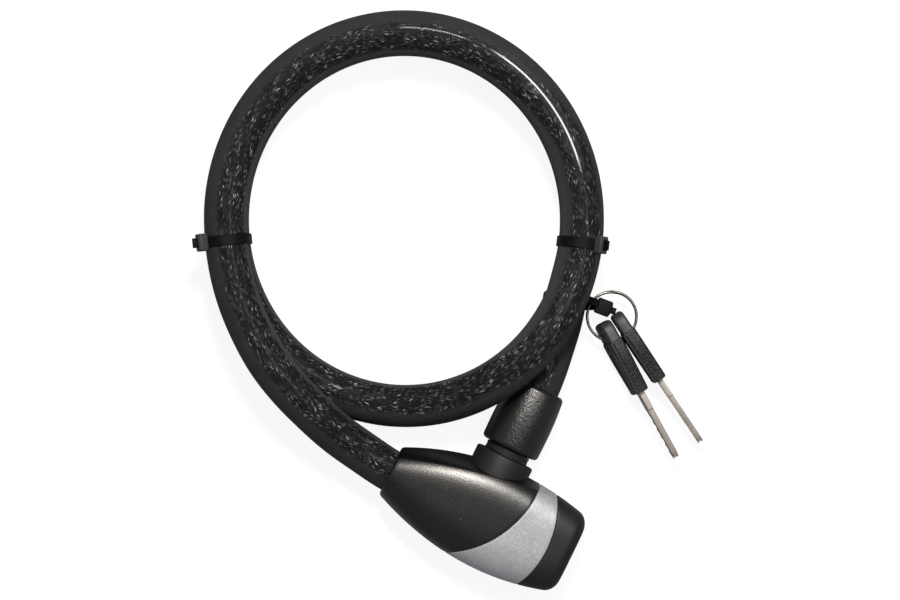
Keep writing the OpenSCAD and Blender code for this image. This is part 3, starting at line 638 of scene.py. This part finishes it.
# The head: three housings shaped from one form
head = {
    "mouthX": -47, "keyX": 47, "crownX": 8, "crownRun": 55,
    "axisY": -3, "axisZ": 17,
    "mouthWide": 24.7, "mouthHigh": 25, "high": 34, "endHigh": 31,
    "crownUp": 25.8, "crownDown": 24, "endUp": 20.5, "endDown": 17.5,
    "mouthSquare": 2.3, "crownSquare": 3.4,
    "corner": 5, "mouthLip": 1.2, "skin": 1.8, "lip": 1.7, "lipGap": 0.05, "seam": 0.15, "edge": 0.45,
    "creaseWide": 6.6, "creaseLeast": 1, "creaseX": -22, "creaseReach": 51, "creaseFlat": 0.6,
    "creaseSide": 50,
    "creaseSoft": 2.4,           # degrees round the crease over which it is rounded
    "coverSeam": (-32.5, 19.4, 51.8), "bandSeam": (-14.5, -2.9, 49.5),
    "cavity": (-31.4, 43), "boreR": 10.25, "boreRound": 0.5, "boreFlare": 6,
    "barrelR": 8.65, "barrelRound": 0.6, "barrelRim": 1, "bossR": 10.65, "bossLong": 5,
    "lipMeet": 6, "lipFrom": 16, "lipShort": 0.3,
    "coverRows": 44, "bandRows": 18, "capRows": 8, "smooth": 32,
}


def aroundAngles():
    # angles round a section, closer together beside the creases
    side, soft = head["creaseSide"], head["creaseSoft"]
    half = [k * (side - soft) / 7 for k in range(8)]
    half += [side - soft + soft * k / 3 for k in range(1, 7)]
    last = side + soft
    half += [last + (180 - last) * k / 40 for k in range(1, 41)]
    return half + [-a for a in half[-2:0:-1]]


angles = aroundAngles()


def oval(v, n):
    return max(0, 1 - abs(v) ** n) ** (1 / n)


def swell(x, atMouth, atCrown, atEnd):
    if x < head["crownX"]:
        t = clamp((x - head["mouthX"]) / head["crownRun"])
        return atMouth + (atCrown - atMouth) * (1 - (1 - t) ** 2)
    t = (x - head["crownX"]) / (head["keyX"] - head["crownX"])
    return atCrown + (atEnd - atCrown) * t * t


def sectionPoint(x, inset, a):
    # the head's surface at a station, drawn in by inset, at an angle round the section
    up = swell(x, head["mouthWide"] / 2, head["crownUp"], head["endUp"]) - inset
    down = swell(x, head["mouthWide"] / 2, head["crownDown"], head["endDown"]) - inset
    high = swell(x, head["mouthHigh"], head["high"], head["endHigh"]) / 2 - inset
    n = swell(x, head["mouthSquare"], head["crownSquare"], head["crownSquare"])
    half = (up + down) / 2
    off = (x - head["creaseX"]) / head["creaseReach"]
    wide = head["creaseLeast"] + (head["creaseWide"] - head["creaseLeast"]) * max(0, 1 - off * off)
    edge = 1 - wide / half
    side, flat = head["creaseSide"], head["creaseFlat"]

    def crossing(angle):
        t = 1 - abs(angle) / side
        if t > 0:
            return edge + (1 - edge) * t, oval(edge, n) * (1 - flat * t - (1 - flat) * t * t)
        spread = (edge + 1) / (cos(radians(side)) ** (2 / n) + 1)
        c = cos(radians(angle))
        across = (abs(c) ** (2 / n) * (1 if c >= 0 else -1) + 1) * spread - 1
        return across, oval(across, n)

    soft = head["creaseSoft"]
    off = abs(a) - side
    if abs(off) < soft:
        # a small curve in place of the sharp crease
        u = (off + soft) / (2 * soft)
        p, q, r = crossing(side - soft), crossing(side), crossing(side + soft)
        across, rise = [p[k] * (1 - u) ** 2 + q[k] * 2 * u * (1 - u) + r[k] * u * u for k in (0, 1)]
    else:
        across, rise = crossing(a)
    sign = 1 if a > 0 else -1 if a < 0 else 0
    return (x, head["axisY"] + (up - down) / 2 + half * across, head["axisZ"] + high * sign * rise)


def seamStation(seam, change, inset, a):
    # the station where the section's point at this angle meets a seam's arc
    cx, cy, r = seam
    low, top = cx, cx + r + change + 1
    for _ in range(30):
        x = (low + top) / 2
        y = sectionPoint(min(x, head["keyX"]), inset, a)[1]
        if hypot(x - cx, y - cy) < r + change:
            low = x
        else:
            top = x
    return low


def seamStations(seam, change, inset):
    return [seamStation(seam, change, inset, a) for a in angles]


def ringAt(x, inset):
    return [sectionPoint(x, inset, a) for a in angles]


def ringOnSeam(seam, change, inset):
    return [sectionPoint(x, inset, a) for x, a in zip(seamStations(seam, change, inset), angles)]


def roundRing(x, radius, like):
    # a circle about the head's axis, each point in line with the section's point
    ring = []
    for a in angles:
        _, y, z = sectionPoint(like, 0, a)
        turn = atan2(z - head["axisZ"], y - head["axisY"])
        ring.append((x, head["axisY"] + radius * cos(turn), head["axisZ"] + radius * sin(turn)))
    return ring


def endInset(x):
    # how far the surface draws in at the rounded key end and at the mouth's lip
    inset = 0
    for radius, d in ((head["corner"], x - (head["keyX"] - head["corner"])),
                      (head["mouthLip"], head["mouthX"] + head["mouthLip"] - x)):
        if d > 0:
            inset += radius - sqrt(max(0, radius ** 2 - d * d))
    return inset


def between(fromStations, toStations, count, insetOf=endInset):
    # rings from one set of stations to another, the ends included
    rings = []
    for k in range(count + 1):
        t = k / count
        rings.append([sectionPoint(lerp(f, g, t), insetOf(lerp(f, g, t)), a)
                      for f, g, a in zip(fromStations, toStations, angles)])
    return rings


def roundedEdge(seam, change, outward):
    # the rounded edge beside a seam, from the outer surface down to the seam's face, or the other way
    rings = []
    edge = head["edge"]
    for angle in (0, 30, 60, 90):
        back = edge * (1 - sin(radians(angle)))
        down = edge * (1 - cos(radians(angle)))
        rings.append(ringOnSeam(seam, change - outward * back, down))
    return rings


def finishHousing(name, rows, look, node, cutter=None):
    housing = skinRows(name, rows, True)
    inEditMode(closeUp)
    if cutter:
        cutWith(housing, cutter())
    smooth(housing, head["smooth"])
    finishPiece(housing, "lock_head", look, node)


def collarCutter():
    clearSelection()
    radius = (plug["collarR"] + plug["collarGap"]) * mm
    bpy.ops.mesh.primitive_cylinder_add(vertices=128, radius=radius, depth=2 * plug["cutLong"] * mm)
    cutter = bpy.context.object
    settle(cutter, placeAt((plug["x"], plug["seatY"] + plug["cutLong"], head["axisZ"]), 90, "X"))
    return cutter


def makeCover():
    seam, edge = head["coverSeam"], head["edge"]
    mouth, lip = head["mouthX"], head["mouthLip"]
    skin, inner = head["skin"] + head["lipGap"], head["skin"] + head["lip"]
    count = len(angles)
    bore, cavity = head["boreR"], head["cavity"][0]
    meet = head["bandSeam"], -head["lipMeet"]
    soft, flare = head["boreRound"], head["boreFlare"]
    rows = [roundRing(cavity, bore, mouth + flare + 2), roundRing(mouth + flare, bore, mouth + 2)]
    rows += [roundRing(mouth + soft * (1 - sin(t)), bore + soft * (1 - cos(t)), mouth)
             for t in (0, pi / 6, pi / 3, pi / 2)]
    starts = [mouth + lip * (1 - cos(radians(t))) for t in range(0, 91, 15)]
    rows += [ringAt(x, endInset(x)) for x in starts]
    rows += between([mouth + lip] * count, seamStations(seam, -edge, 0), head["coverRows"])[1:]
    rows += roundedEdge(seam, 0, 1)[1:]
    rows += [ringOnSeam(seam, 0, skin), ringOnSeam(*meet, skin), ringOnSeam(*meet, inner)]
    rows += between(seamStations(*meet, inner), [cavity] * count, 10, lambda x: inner)[1:]
    finishHousing("mainCover", rows, "satinBlack", "main_cover", collarCutter)


def makeBand():
    first, last = head["coverSeam"], head["bandSeam"]
    seam, edge, skin = head["seam"], head["edge"], head["skin"]
    starts, ends = seamStations(first, seam + edge, 0), seamStations(last, -seam - edge, 0)
    rows = [ringOnSeam(first, seam, skin)]
    rows += roundedEdge(first, seam, -1)[::-1]
    rows += between(starts, ends, head["bandRows"])[1:]
    rows += roundedEdge(last, -seam, 1)[1:]
    rows.append(ringOnSeam(last, -seam, skin))
    starts, ends = seamStations(last, -seam, skin), seamStations(first, seam, skin)
    rows += between(starts, ends, 4, lambda x: skin)[1:-1]
    finishHousing("silverBand", rows, "silver", "silver_band")


def makeCap():
    seam, edge = head["bandSeam"], head["edge"]
    key, corner = head["keyX"], head["corner"]
    skin, inner = head["skin"] + head["lipGap"], head["skin"] + head["lip"]
    lipStations = seamStations(seam, head["lipShort"] - head["lipMeet"], skin)
    lipStart = [max(head["lipFrom"], x) for x in lipStations]
    cavity = head["cavity"][1]
    hole, soft, boss = head["barrelR"], head["barrelRound"], head["bossR"]
    bossEnd = cavity - head["bossLong"]
    rows = between(lipStart, seamStations(seam, 0, skin), 3, lambda x: skin)
    rows += roundedEdge(seam, 0, -1)[::-1]
    rows += between(seamStations(seam, edge, 0), [key - corner] * len(angles), head["capRows"])[1:]
    rows += [ringAt(x, endInset(x)) for x in [key - corner * (1 - sin(radians(t))) for t in range(9, 91, 9)]]
    rows += [ringAt(key, corner + 1), roundRing(key, hole + soft + head["barrelRim"], key)]
    rows += [roundRing(key - soft * (1 - cos(t)), hole + soft - soft * sin(t), key)
             for t in (0, pi / 6, pi / 3, pi / 2)]
    rows += [roundRing(bossEnd, hole, key), roundRing(bossEnd, boss, key), roundRing(cavity, boss, key),
             ringAt(cavity, inner)]
    rows += between([cavity] * len(angles), lipStart, 4, lambda x: inner)[1:]
    finishHousing("endCap", rows, "capBlack", "end_cap")


# The collar and the boot, turned about the plug's axis
plug = {
    "x": -1.2, "seatY": 15.85, "cutLong": 15,
    "collarR": 14.3, "collarGap": 0.05, "collarTop": 27, "collarRound": 0.9,
    "spigotR": 8, "spigotY": 13.1, "bore": 5.75, "boreEdge": 0.4,
    "bootY": 31, "bootLong": 32, "bootR": 14.35, "bootEndR": 12.1, "bootStep": 0.9,
    "bootFat": 0.36, "bootFootThin": 0.16,   # where the boot is fattest, and how much thinner its foot is
    "bootRows": (8, 92, 4), "footRound": 2, "endRound": 2.2, "rimEdge": (0.25, 0.3),
    "socketR": 8.55, "socketLong": 11, "cableR": 10.15,
}


def turned(name, profile, sides=96):
    # a closed profile of (radius, y) points turned about the plug's axis
    rows = [[(plug["x"] + r * sin(2 * pi * k / sides), y, head["axisZ"] + r * cos(2 * pi * k / sides))
             for k in range(sides)] for r, y in profile]
    piece = skinRows(name, rows, True)
    inEditMode(closeUp)
    smooth(piece, head["smooth"])
    return piece


def corner(r, y, size, start, steps):
    # points of a rounded corner about its centre, through a quarter turn from the start angle
    turns = [radians(start + 90 * k / steps) for k in range(steps + 1)]
    return [(r + size * cos(t), y + size * sin(t)) for t in turns]


def makeCollar():
    r, top, seat, soft = plug["collarR"], plug["collarTop"], plug["seatY"], plug["collarRound"]
    bore, edge, spigot, low = plug["bore"], plug["boreEdge"], plug["spigotR"], plug["spigotY"]
    profile = [(r, seat)] + corner(r - soft, top - soft, soft, 0, 4)
    profile += [(bore + edge, top), (bore, top - edge), (bore, low), (spigot, low), (spigot, seat)]
    collar = turned("socketCollar", profile)
    finishPiece(collar, "lock_head", "capBlack", "socket_collar")


def bootRadius(t):
    # the boot's outer radius from its foot to its cable end
    fat = plug["bootFat"]
    if t > fat:
        share = 1 - ((t - fat) / (1 - fat)) ** 2
    else:
        share = 1 - ((fat - t) / fat) ** 2 * plug["bootFootThin"]
    thin = plug["bootEndR"] + plug["bootStep"]
    return thin + (plug["bootR"] - thin) * share


def makeBoot():
    foot, end = plug["bootY"], plug["bootY"] + plug["bootLong"]
    first, last = bootRadius(0.06), bootRadius(0.93)
    low, soft = plug["footRound"], plug["endRound"]
    socket, deep, hole = plug["socketR"], foot + plug["socketLong"], plug["cableR"]
    wide, down = plug["rimEdge"]
    profile = [(socket, foot)] + corner(first - low, foot + low, low, -90, 6)
    profile += [(bootRadius(t / 100), foot + plug["bootLong"] * t / 100) for t in range(*plug["bootRows"])]
    profile += corner(last - soft, end - soft, soft, 0, 6)
    profile += [(hole + wide, end), (hole, end - down), (hole, deep), (socket, deep)]
    finishPiece(turned("plugBoot", profile), "cable_end", "boot", "plug_boot")


makeCover()
makeBand()
makeCap()
print("housings shaped")
makeCollar()
makeBoot()
print("collar and boot turned")


# The cable ties
tie = {
    "wide": 4.9, "thick": 0.85, "soft": 0.25, "slack": 0.12, "rise": 20.5,
    "head": (4.4, 8.2, 5.2), "headOff": 0.3, "round": 0.7,
    "stub": 2.6, "stubSunk": 1.2, "stubThick": 1.2, "narrow": 0.3,    # the trimmed end of the strap
    "window": (1.6, 0.5, 0.7),   # the slot's depth, and how much wider and higher than the end it is
    "rim": (0.5, 2.2, 1.0), "rimOff": 0.05, "rimDown": 1.2,
    # for each: its place round the coil, and how far up the upper turn its head sits, in degrees
    "places": {"tieLeft": (coil["from"], 30), "tieRight": (coil["from"] - 15 * coil["step"], 45)},
    "nodes": {"tieLeft": "tie_left", "tieRight": "tie_right"},
}
keyTie = {
    "at": (-7.8, 106, 12), "turn": 17, "wide": 3.6, "reach": 15.9, "neck": 4.0,
    "head": (7.2, 7.6, 6.0), "headTurn": -12, "headOff": -1.2, "slant": 0.3,
}


def makeStrap(outline, wide, slant=0.0):
    # a flat strap round an outline of points and outward directions; slant leans the loop along the cable
    half, soft, thick = wide / 2, tie["soft"], tie["thick"]
    section = [(-half + soft, 0), (half - soft, 0), (half, soft), (half, thick - soft),
               (half - soft, thick), (-half + soft, thick), (-half, thick - soft), (-half, soft)]
    rows = [[(x + nx * out, along + slant * z, z + nz * out) for along, out in section]
            for x, z, nx, nz in outline]
    strap = skinRows("strap", rows, True)
    inEditMode(closeUp)
    strap.data.materials.append(finishes["nylon"])
    return strap


def arcOutline(radius, start, end, steps, rise=0):
    # part of a strap's way round a cable that lies that much higher
    turns = [lerp(start, end, k / steps) for k in range(steps + 1)]
    return [(radius * cos(t), rise + radius * sin(t), cos(t), sin(t)) for t in turns]


def loopOutline(radius, rise):
    # an upright stadium: half turns about the lower and the upper turn of cable, and the straights between
    outline = arcOutline(radius, pi, 2 * pi, 20)
    outline += [(radius, rise * k / 8, 1, 0) for k in range(1, 8)]
    outline += arcOutline(radius, 0, pi, 20, rise)
    outline += [(-radius, rise * k / 8, -1, 0) for k in range(7, 0, -1)]
    return outline


def tieHead(size, strapWide, look):
    # the ratchet box, its slot's rim, and the trimmed end of the strap that shows beyond it
    x, y, z = size
    wide, thick = strapWide - tie["narrow"], tie["stubThick"]
    deep, wider, higher = tie["window"]
    rimDeep, rimLess, rimHigh = tie["rim"]
    stub, sunk = tie["stub"], tie["stubSunk"]
    box = roundedBox(size, (x / 2, 0, 0), tie["round"])
    cutWith(box, roundedBox((deep, wide + wider, thick + higher), (x, 0, 0), 0.2, 1))
    softenEdges(box, 0.12)
    rim = roundedBox((rimDeep, y - rimLess, rimHigh), (x + tie["rimOff"], 0, z / 2 - tie["rimDown"]), 0.2, 2)
    end = roundedBox((stub + sunk, wide, thick), (x + (stub - sunk) / 2, 0, 0), 0.18, 2)
    for part, finish in ((box, look), (rim, look), (end, "nylon")):
        part.data.materials.append(finishes[finish])
    return joined("tieHead", [box, rim, end])


def fastenTie(name, strap, top, place, node):
    whole = joined(name, [strap, top])
    settle(whole, place)
    smooth(whole, 40)
    finishPiece(whole, "cable_end", None, node)


def makeCoilTie(name):
    angle, lean = tie["places"][name]
    inner = cable["diameter"] / 2 + tie["slack"]
    strap = makeStrap(loopOutline(inner, tie["rise"]), tie["wide"])
    top = tieHead(tie["head"], tie["wide"], "tieGrey")
    settle(top, placeAt((0, 0, tie["rise"]), -lean, "Y") @ placeAt((inner + tie["headOff"], 0, 0)))
    x, y, _ = coilPoint(angle)
    place = placeAt((x, y, coil["lower"]), angle + coil["turn"])
    fastenTie(name, strap, top, place, tie["nodes"][name])


def makeKeyTie():
    radius = cable["diameter"] / 2 + tie["slack"]
    reach, neck = keyTie["reach"], keyTie["neck"] / 2
    distance = hypot(reach, neck)
    lean = atan2(neck, reach) + atan2(sqrt(distance ** 2 - radius ** 2), radius)
    # round the cable, and straight out to the neck and back
    outline = arcOutline(radius, lean, 2 * pi - lean, 40)
    low, top = outline[-1], outline[0]
    outline += [(lerp(low[0], reach, k / 6), lerp(low[1], -neck, k / 6), low[2], low[3]) for k in range(1, 7)]
    outline += [(lerp(reach, top[0], k / 6), lerp(neck, top[1], k / 6), top[2], top[3]) for k in range(6)]
    strap = makeStrap(outline, keyTie["wide"], keyTie["slant"])
    block = tieHead(keyTie["head"], keyTie["wide"], "nylon")
    settle(block, placeAt((reach + keyTie["headOff"], 0, 0), keyTie["headTurn"]))
    fastenTie("keyTie", strap, block, placeAt(keyTie["at"], keyTie["turn"]), "key_tie")


makeCoilTie("tieLeft")
makeCoilTie("tieRight")
makeKeyTie()
print("ties fastened")


# The split ring and the keys
ring = {
    "at": (15.3, 108.45, 11), "outer": 12.35, "wide": 1.3, "turnHigh": 0.86, "gap": 0.05, "soft": 0.28,
    "spread": 0.3, "spreadOver": 60,   # how far one turn lies inside the other at the crossing
    "startAt": 110, "run": 718, "stepLong": 40, "rows": 240,
}
# A key lies along x from the ring end, on edge. Its grip is rounded and stepped, with a joint line beside
# the narrow ridge of its other half, and a pocket in each face
key = {
    "gripLong": 37.8, "gripHigh": 22, "gripThick": 7, "slotAt": 9, "slot": (8, 3.4), "slotRound": 1.2,
    "stations": [0.05, 0.3, 0.7, 1.4, 2.5, 4.5, 7, 9.0, 9.6, 9.75, 10.2, 10.8, 12, 14, 17, 20, 23, 26, 29,
                 32, 35, 36.6, 37.1, 37.5, 37.7],
    "endLow": 0.6, "endRound": (4.5, 5), "shoulderAt": 8, "noseHigh": 3, "noseEase": 0.6,
    "thin": 0.55, "endSoft": 1.4, "stepUp": (0.6, 1.2), "noseSoft": 1.2, "edge": 1.3, "edgeShare": 0.6,
    "middle": 24, "joint": (25.5, 0.55, 2.4), "jointAt": (-1.9, 10.2),
    "pocket": (17, 1.2, 12), "pocketOut": 0.2,
    "greyTo": 9.7, "ridgeFrom": 11, "ridgeHigh": 4,
    "bladeLong": 35.2, "bladeHigh": 8, "bladeThick": 2.6, "tang": 19.7, "shoulder": 9, "step": 1.2,
    "slope": 0.5, "tip": 3, "tipHalf": 1, "cuts": (1.1, 1.9, 0.9, 1.6, 1.3), "cutFirst": 2.4, "cutPitch": 4,
    "cutHalf": (1.9, 0.7),       # half of a cut's mouth and of its floor
    # the milled grooves: their level, turned over on the other side, and their width
    "mills": [(-1.6, 1.1), (1.1, 0.5)], "millDeep": 0.9, "millOut": 0.1, "millPast": 4,
    "notch": (1.5, 1.5, 10), "notchAt": (0.35, -0.25), "notchTurn": 35,
    # for each: the grip's ring end, the key's direction, and its tilt off its edge
    "places": {"A": ((12.3, 103.8, 11.2), -35.1, -7), "B": ((16.2, 110.4, 11), -30.3, 0)},
}


def makeRing():
    # two flat turns of wire: the lower one steps up to the upper one between two ends
    outer, inner = ring["outer"], ring["outer"] - ring["wide"]
    high, gap, soft = ring["turnHigh"], ring["gap"], ring["soft"]
    rise, run = high + gap, ring["run"]
    section = [(inner + soft, 0), (outer - soft, 0), (outer, soft), (outer, high - soft),
               (outer - soft, high), (inner + soft, high), (inner, high - soft), (inner, soft)]
    rows = []
    for k in range(ring["rows"] + 1):
        turn = run * k / ring["rows"]
        past = turn - run / 2
        lift = rise * ease(clamp(past / ring["stepLong"] + 0.5)) - rise + gap / 2
        a = radians(ring["startAt"] + turn)
        drawn = ring["spread"] * max(0, 1 - abs(past) / ring["spreadOver"]) ** 2
        rows.append([((r - drawn) * cos(a), (r - drawn) * sin(a), z + lift) for r, z in section])
    band = skinRows("keyRing", rows)
    inEditMode(closeEnds)
    settle(band, placeAt(ring["at"]))
    smooth(band, 50)
    finishPiece(band, "split_ring", "wire", "key_ring")


def gripHalfHeight(x):
    # the grip's half height on edge, from the ring end to the blade
    end, wide = key["gripHigh"] / 2 - key["endLow"], key["gripHigh"] / 2
    shoulder = key["slotAt"] + key["shoulderAt"]
    long, high = key["endRound"]
    if x < long:
        return end - high + high * sqrt(max(0, 1 - ((long - x) / long) ** 2))
    if x < shoulder:
        return lerp(end, wide, ease((x - long) / (shoulder - long)))
    t = (x - shoulder) / (key["gripLong"] - shoulder)
    return lerp(wide, key["bladeHigh"] / 2 + key["noseHigh"], lerp(t, ease(t), key["noseEase"]))


def gripHalfThick(x):
    # thinner at the grey end, with a small step up to the textured part
    full = key["gripThick"] / 2
    thin, soft, nose = full - key["thin"], key["endSoft"], key["noseSoft"]
    after, long = key["stepUp"]
    step = key["slotAt"] + after
    if x < soft:
        return thin - soft + sqrt(max(0, soft ** 2 - (soft - x) ** 2))
    if x < step:
        return thin
    if x < step + long:
        return lerp(thin, full, (x - step) / long)
    if x > key["gripLong"] - nose:
        return full - nose + sqrt(max(0, nose ** 2 - (x - key["gripLong"] + nose) ** 2))
    return full


def gripRow(x):
    # a section of the grip: a rectangle with round corners
    high, thick = gripHalfHeight(x), gripHalfThick(x)
    edge = min(key["edge"], thick * key["edgeShare"])
    row = []
    for k, (sy, sz) in enumerate(((1, 1), (-1, 1), (-1, -1), (1, -1))):
        for step in range(5):
            t = radians(90 * k + 22.5 * step)
            row.append((x, sy * (thick - edge) + edge * cos(t), sz * (high - edge) + edge * sin(t)))
    return row


def makeGrip(name, place, body, node):
    grip = skinRows(name, [gripRow(x) for x in key["stations"] + [key["gripLong"]]])
    inEditMode(closeEnds)
    slotLong, slotHigh = key["slot"]
    cutWith(grip, roundedBox((slotLong, 20, slotHigh), (key["slotAt"], 0, 0), key["slotRound"], 3))
    jointY, jointZ = key["jointAt"]
    faceY = key["gripThick"] / 2 + key["pocketOut"]
    for side in (-1, 1):
        cutWith(grip, roundedBox(key["joint"], (key["middle"], jointY, side * jointZ), 0.15, 1))
        cutWith(grip, roundedBox(key["pocket"], (key["middle"], side * faceY, 0), 0.3, 2))
    grip.data.materials.append(finishes["gripBlack"])
    grip.data.materials.append(finishes["gripGrey"])
    for face in grip.data.polygons:
        x, y, z = face.center / mm
        ridge = y < jointY and x > key["ridgeFrom"] and abs(z) > key["ridgeHigh"]
        face.material_index = 1 if x < key["greyTo"] or ridge else 0
    settle(grip, place)
    smooth(grip, 35)
    finishPiece(grip, body, None, node)


def bladeOutline(start, end):
    # along the plain upper edge to the tip, and back along the cuts
    half, tip, flat = key["bladeHigh"] / 2, key["tip"], key["tipHalf"]
    low = key["step"] - half
    shoulder = key["gripLong"] + key["shoulder"]
    outline = [(start, half), (shoulder, half), (shoulder + key["slope"], -low), (end - tip, -low),
               (end, flat), (end, -flat), (end - tip, low)]
    mouth, floor = key["cutHalf"]
    for index, depth in enumerate(key["cuts"]):
        middle = end - tip - key["cutFirst"] - index * key["cutPitch"]
        outline += [(middle + mouth, low), (middle + floor, low + depth),
                    (middle - floor, low + depth), (middle - mouth, low)]
    return outline + [(shoulder + key["slope"], low), (shoulder, -half), (start, -half)]


def makeBlade(name, place, body, node):
    start, end = key["gripLong"] - key["tang"], key["gripLong"] + key["bladeLong"]
    outline, thick = bladeOutline(start, end), key["bladeThick"] / 2
    clearSelection()
    bpy.ops.mesh.primitive_circle_add(vertices=len(outline), radius=1, fill_type="NGON")
    blade = bpy.context.object
    blade.name = name
    for vertex in blade.data.vertices:
        x, z = outline[vertex.index]
        vertex.co = Vector((x, -thick, z)) * mm

    def thicken():
        bpy.ops.mesh.extrude_region_move(TRANSFORM_OT_translate={"value": (0, 2 * thick * mm, 0)})
        bpy.ops.mesh.select_all(action="SELECT")
        bpy.ops.mesh.normals_make_consistent(inside=False)

    inEditMode(thicken)
    long, past = key["bladeLong"], key["millPast"]
    for side in (-1, 1):
        for level, wide in key["mills"]:
            at = (key["gripLong"] + past + long / 2, side * (thick + key["millOut"]), side * level)
            cutWith(blade, roundedBox((long + past, key["millDeep"], wide), at, 0.15, 1))
    notch = roundedBox(key["notch"], (0, 0, 0), 0.1, 1)
    off, aside = key["notchAt"]
    settle(notch, placeAt((end + off, aside, 0), key["notchTurn"]))
    cutWith(blade, notch)
    softenEdges(blade, 0.12)
    settle(blade, place)
    smooth(blade, 30)
    finishPiece(blade, body, "keySteel", node)


makeRing()
for letter, (at, turn, tilt) in key["places"].items():
    place = placeAt(at, turn) @ Matrix.Rotation(radians(tilt), 4, "X")
    body = "key_" + letter.lower()
    makeGrip("keyGrip" + letter, place, body, body + "_grip")
    makeBlade("keyBlade" + letter, place, body, body + "_blade")
print("ring and keys made")


# The pieces inside the head, and the plug's pin: their finish and the width of their edges
inner = {
    "core_block": ("dieCast", 0.35), "cable_ferrule": ("steel", 0.25), "ferrule_pin": ("steel", 0.3),
    "head_strand": ("rope", 0.2), "barrel": ("nickel", 0.3), "barrel_pin": ("steel", 0.25),
    "cylinder_plug": ("brass", 0.2), "wafers": ("brass", 0.06), "crank": ("steel", 0.25),
    "retaining_clip": ("steel", 0.12), "latch_plate": ("steel", 0.2), "plug_pin": ("pin", 0.22),
    "plug_gasket": ("seal", 0.1), "plug_strand": ("rope", 0.2),
}


def dressInner():
    for node, (look, width) in inner.items():
        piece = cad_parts[node]
        piece.data.materials.clear()
        piece.data.materials.append(finishes[look])
        smooth(piece, 30)
        bevelEdges(piece, width)


dressInner()
print("inner pieces dressed")


# Lamps, surroundings and floor
studio = {
    "over": (-0.05, 0.08), "far": 1.2,   # the point that the lamps face, and how far off they stand
    "around": 0.18,                      # soft white light from all sides
    "lamps": {
        "softbox": {"azimuth": 113, "off": 24, "size": (0.15, 0.14), "power": 10.0,
                    "colour": (1.0, 0.94, 0.86)},
        "strip": {"azimuth": 62, "off": 23, "size": (0.82, 0.18), "power": 4.0,
                  "colour": (1.0, 0.99, 0.97)}},
    "floorWide": 6,
    "paper": 1.10, "paperGlow": 0.825,   # how white the paper looks to the camera, and how much of it is glow
    "paperLit": (0.85, 0.89, 0.95), "paperSeen": (0.25, 0.265, 0.29),  # its colour, and that in reflections
}


def addLamp(name, lamp):
    # an area lamp that faces the lock; its long side lies across the line from the lock
    azimuth, off = radians(lamp["azimuth"]), radians(lamp["off"])
    towards = Vector((sin(off) * cos(azimuth), sin(off) * sin(azimuth), cos(off)))
    bpy.ops.object.light_add(type="AREA")
    made = bpy.context.object
    made.name = name
    made.data.shape = "RECTANGLE"
    made.data.size, made.data.size_y = lamp["size"]
    made.data.energy = lamp["power"]
    made.data.color = lamp["colour"]
    across = Vector((-sin(azimuth), cos(azimuth), 0))
    turned = Matrix((across, towards.cross(across), towards)).transposed()
    at = Vector((*studio["over"], 0)) + towards * studio["far"]
    made.matrix_world = Matrix.Translation(at) @ turned.to_4x4()


def addFloor():
    bpy.ops.mesh.primitive_plane_add(size=studio["floorWide"], location=(*studio["over"], 0))
    floor = bpy.context.object
    floor.name = "floor"
    paper = bpy.data.materials.new("whitePaper")
    paper.use_nodes = True
    w = Wire(paper.node_tree)
    shader = w.tree.nodes["Principled BSDF"]
    shader.inputs["Roughness"].default_value = 0.9
    shader.inputs["Specular IOR Level"].default_value = 0.0
    glow = w.node("ShaderNodeEmission", None, {"Color": (1, 1, 1, 1), "Strength": studio["paper"]})
    lit = Wire(w.tree, shader.outputs[0])
    toCamera = w.node("ShaderNodeLightPath", out=0)
    reflected = w.node("ShaderNodeLightPath", out=3)
    seen = w.mix(reflected, studio["paperLit"], studio["paperSeen"])
    w.tree.links.new(seen.socket, shader.inputs["Base Color"])
    both = w.node("ShaderNodeMixShader", None, {0: toCamera * studio["paperGlow"], 1: lit, 2: glow})
    w.tree.links.new(both.socket, w.tree.nodes["Material Output"].inputs["Surface"])
    floor.data.materials.append(paper)


def addSurroundings():
    world = bpy.data.worlds.new("softWhite")
    bpy.context.scene.world = world
    world.use_nodes = True
    w = Wire(world.node_tree)
    toCamera = w.node("ShaderNodeLightPath", out=0)
    light = w.mix(toCamera, (studio["around"],) * 3, (1.0, 1.0, 1.0))
    w.tree.links.new(light.socket, w.tree.nodes["Background"].inputs["Color"])


for name, lamp in studio["lamps"].items():
    addLamp(name, lamp)
addFloor()
addSurroundings()
bpy.context.scene.view_settings.view_transform = "Standard"
print("lamps and floor set")
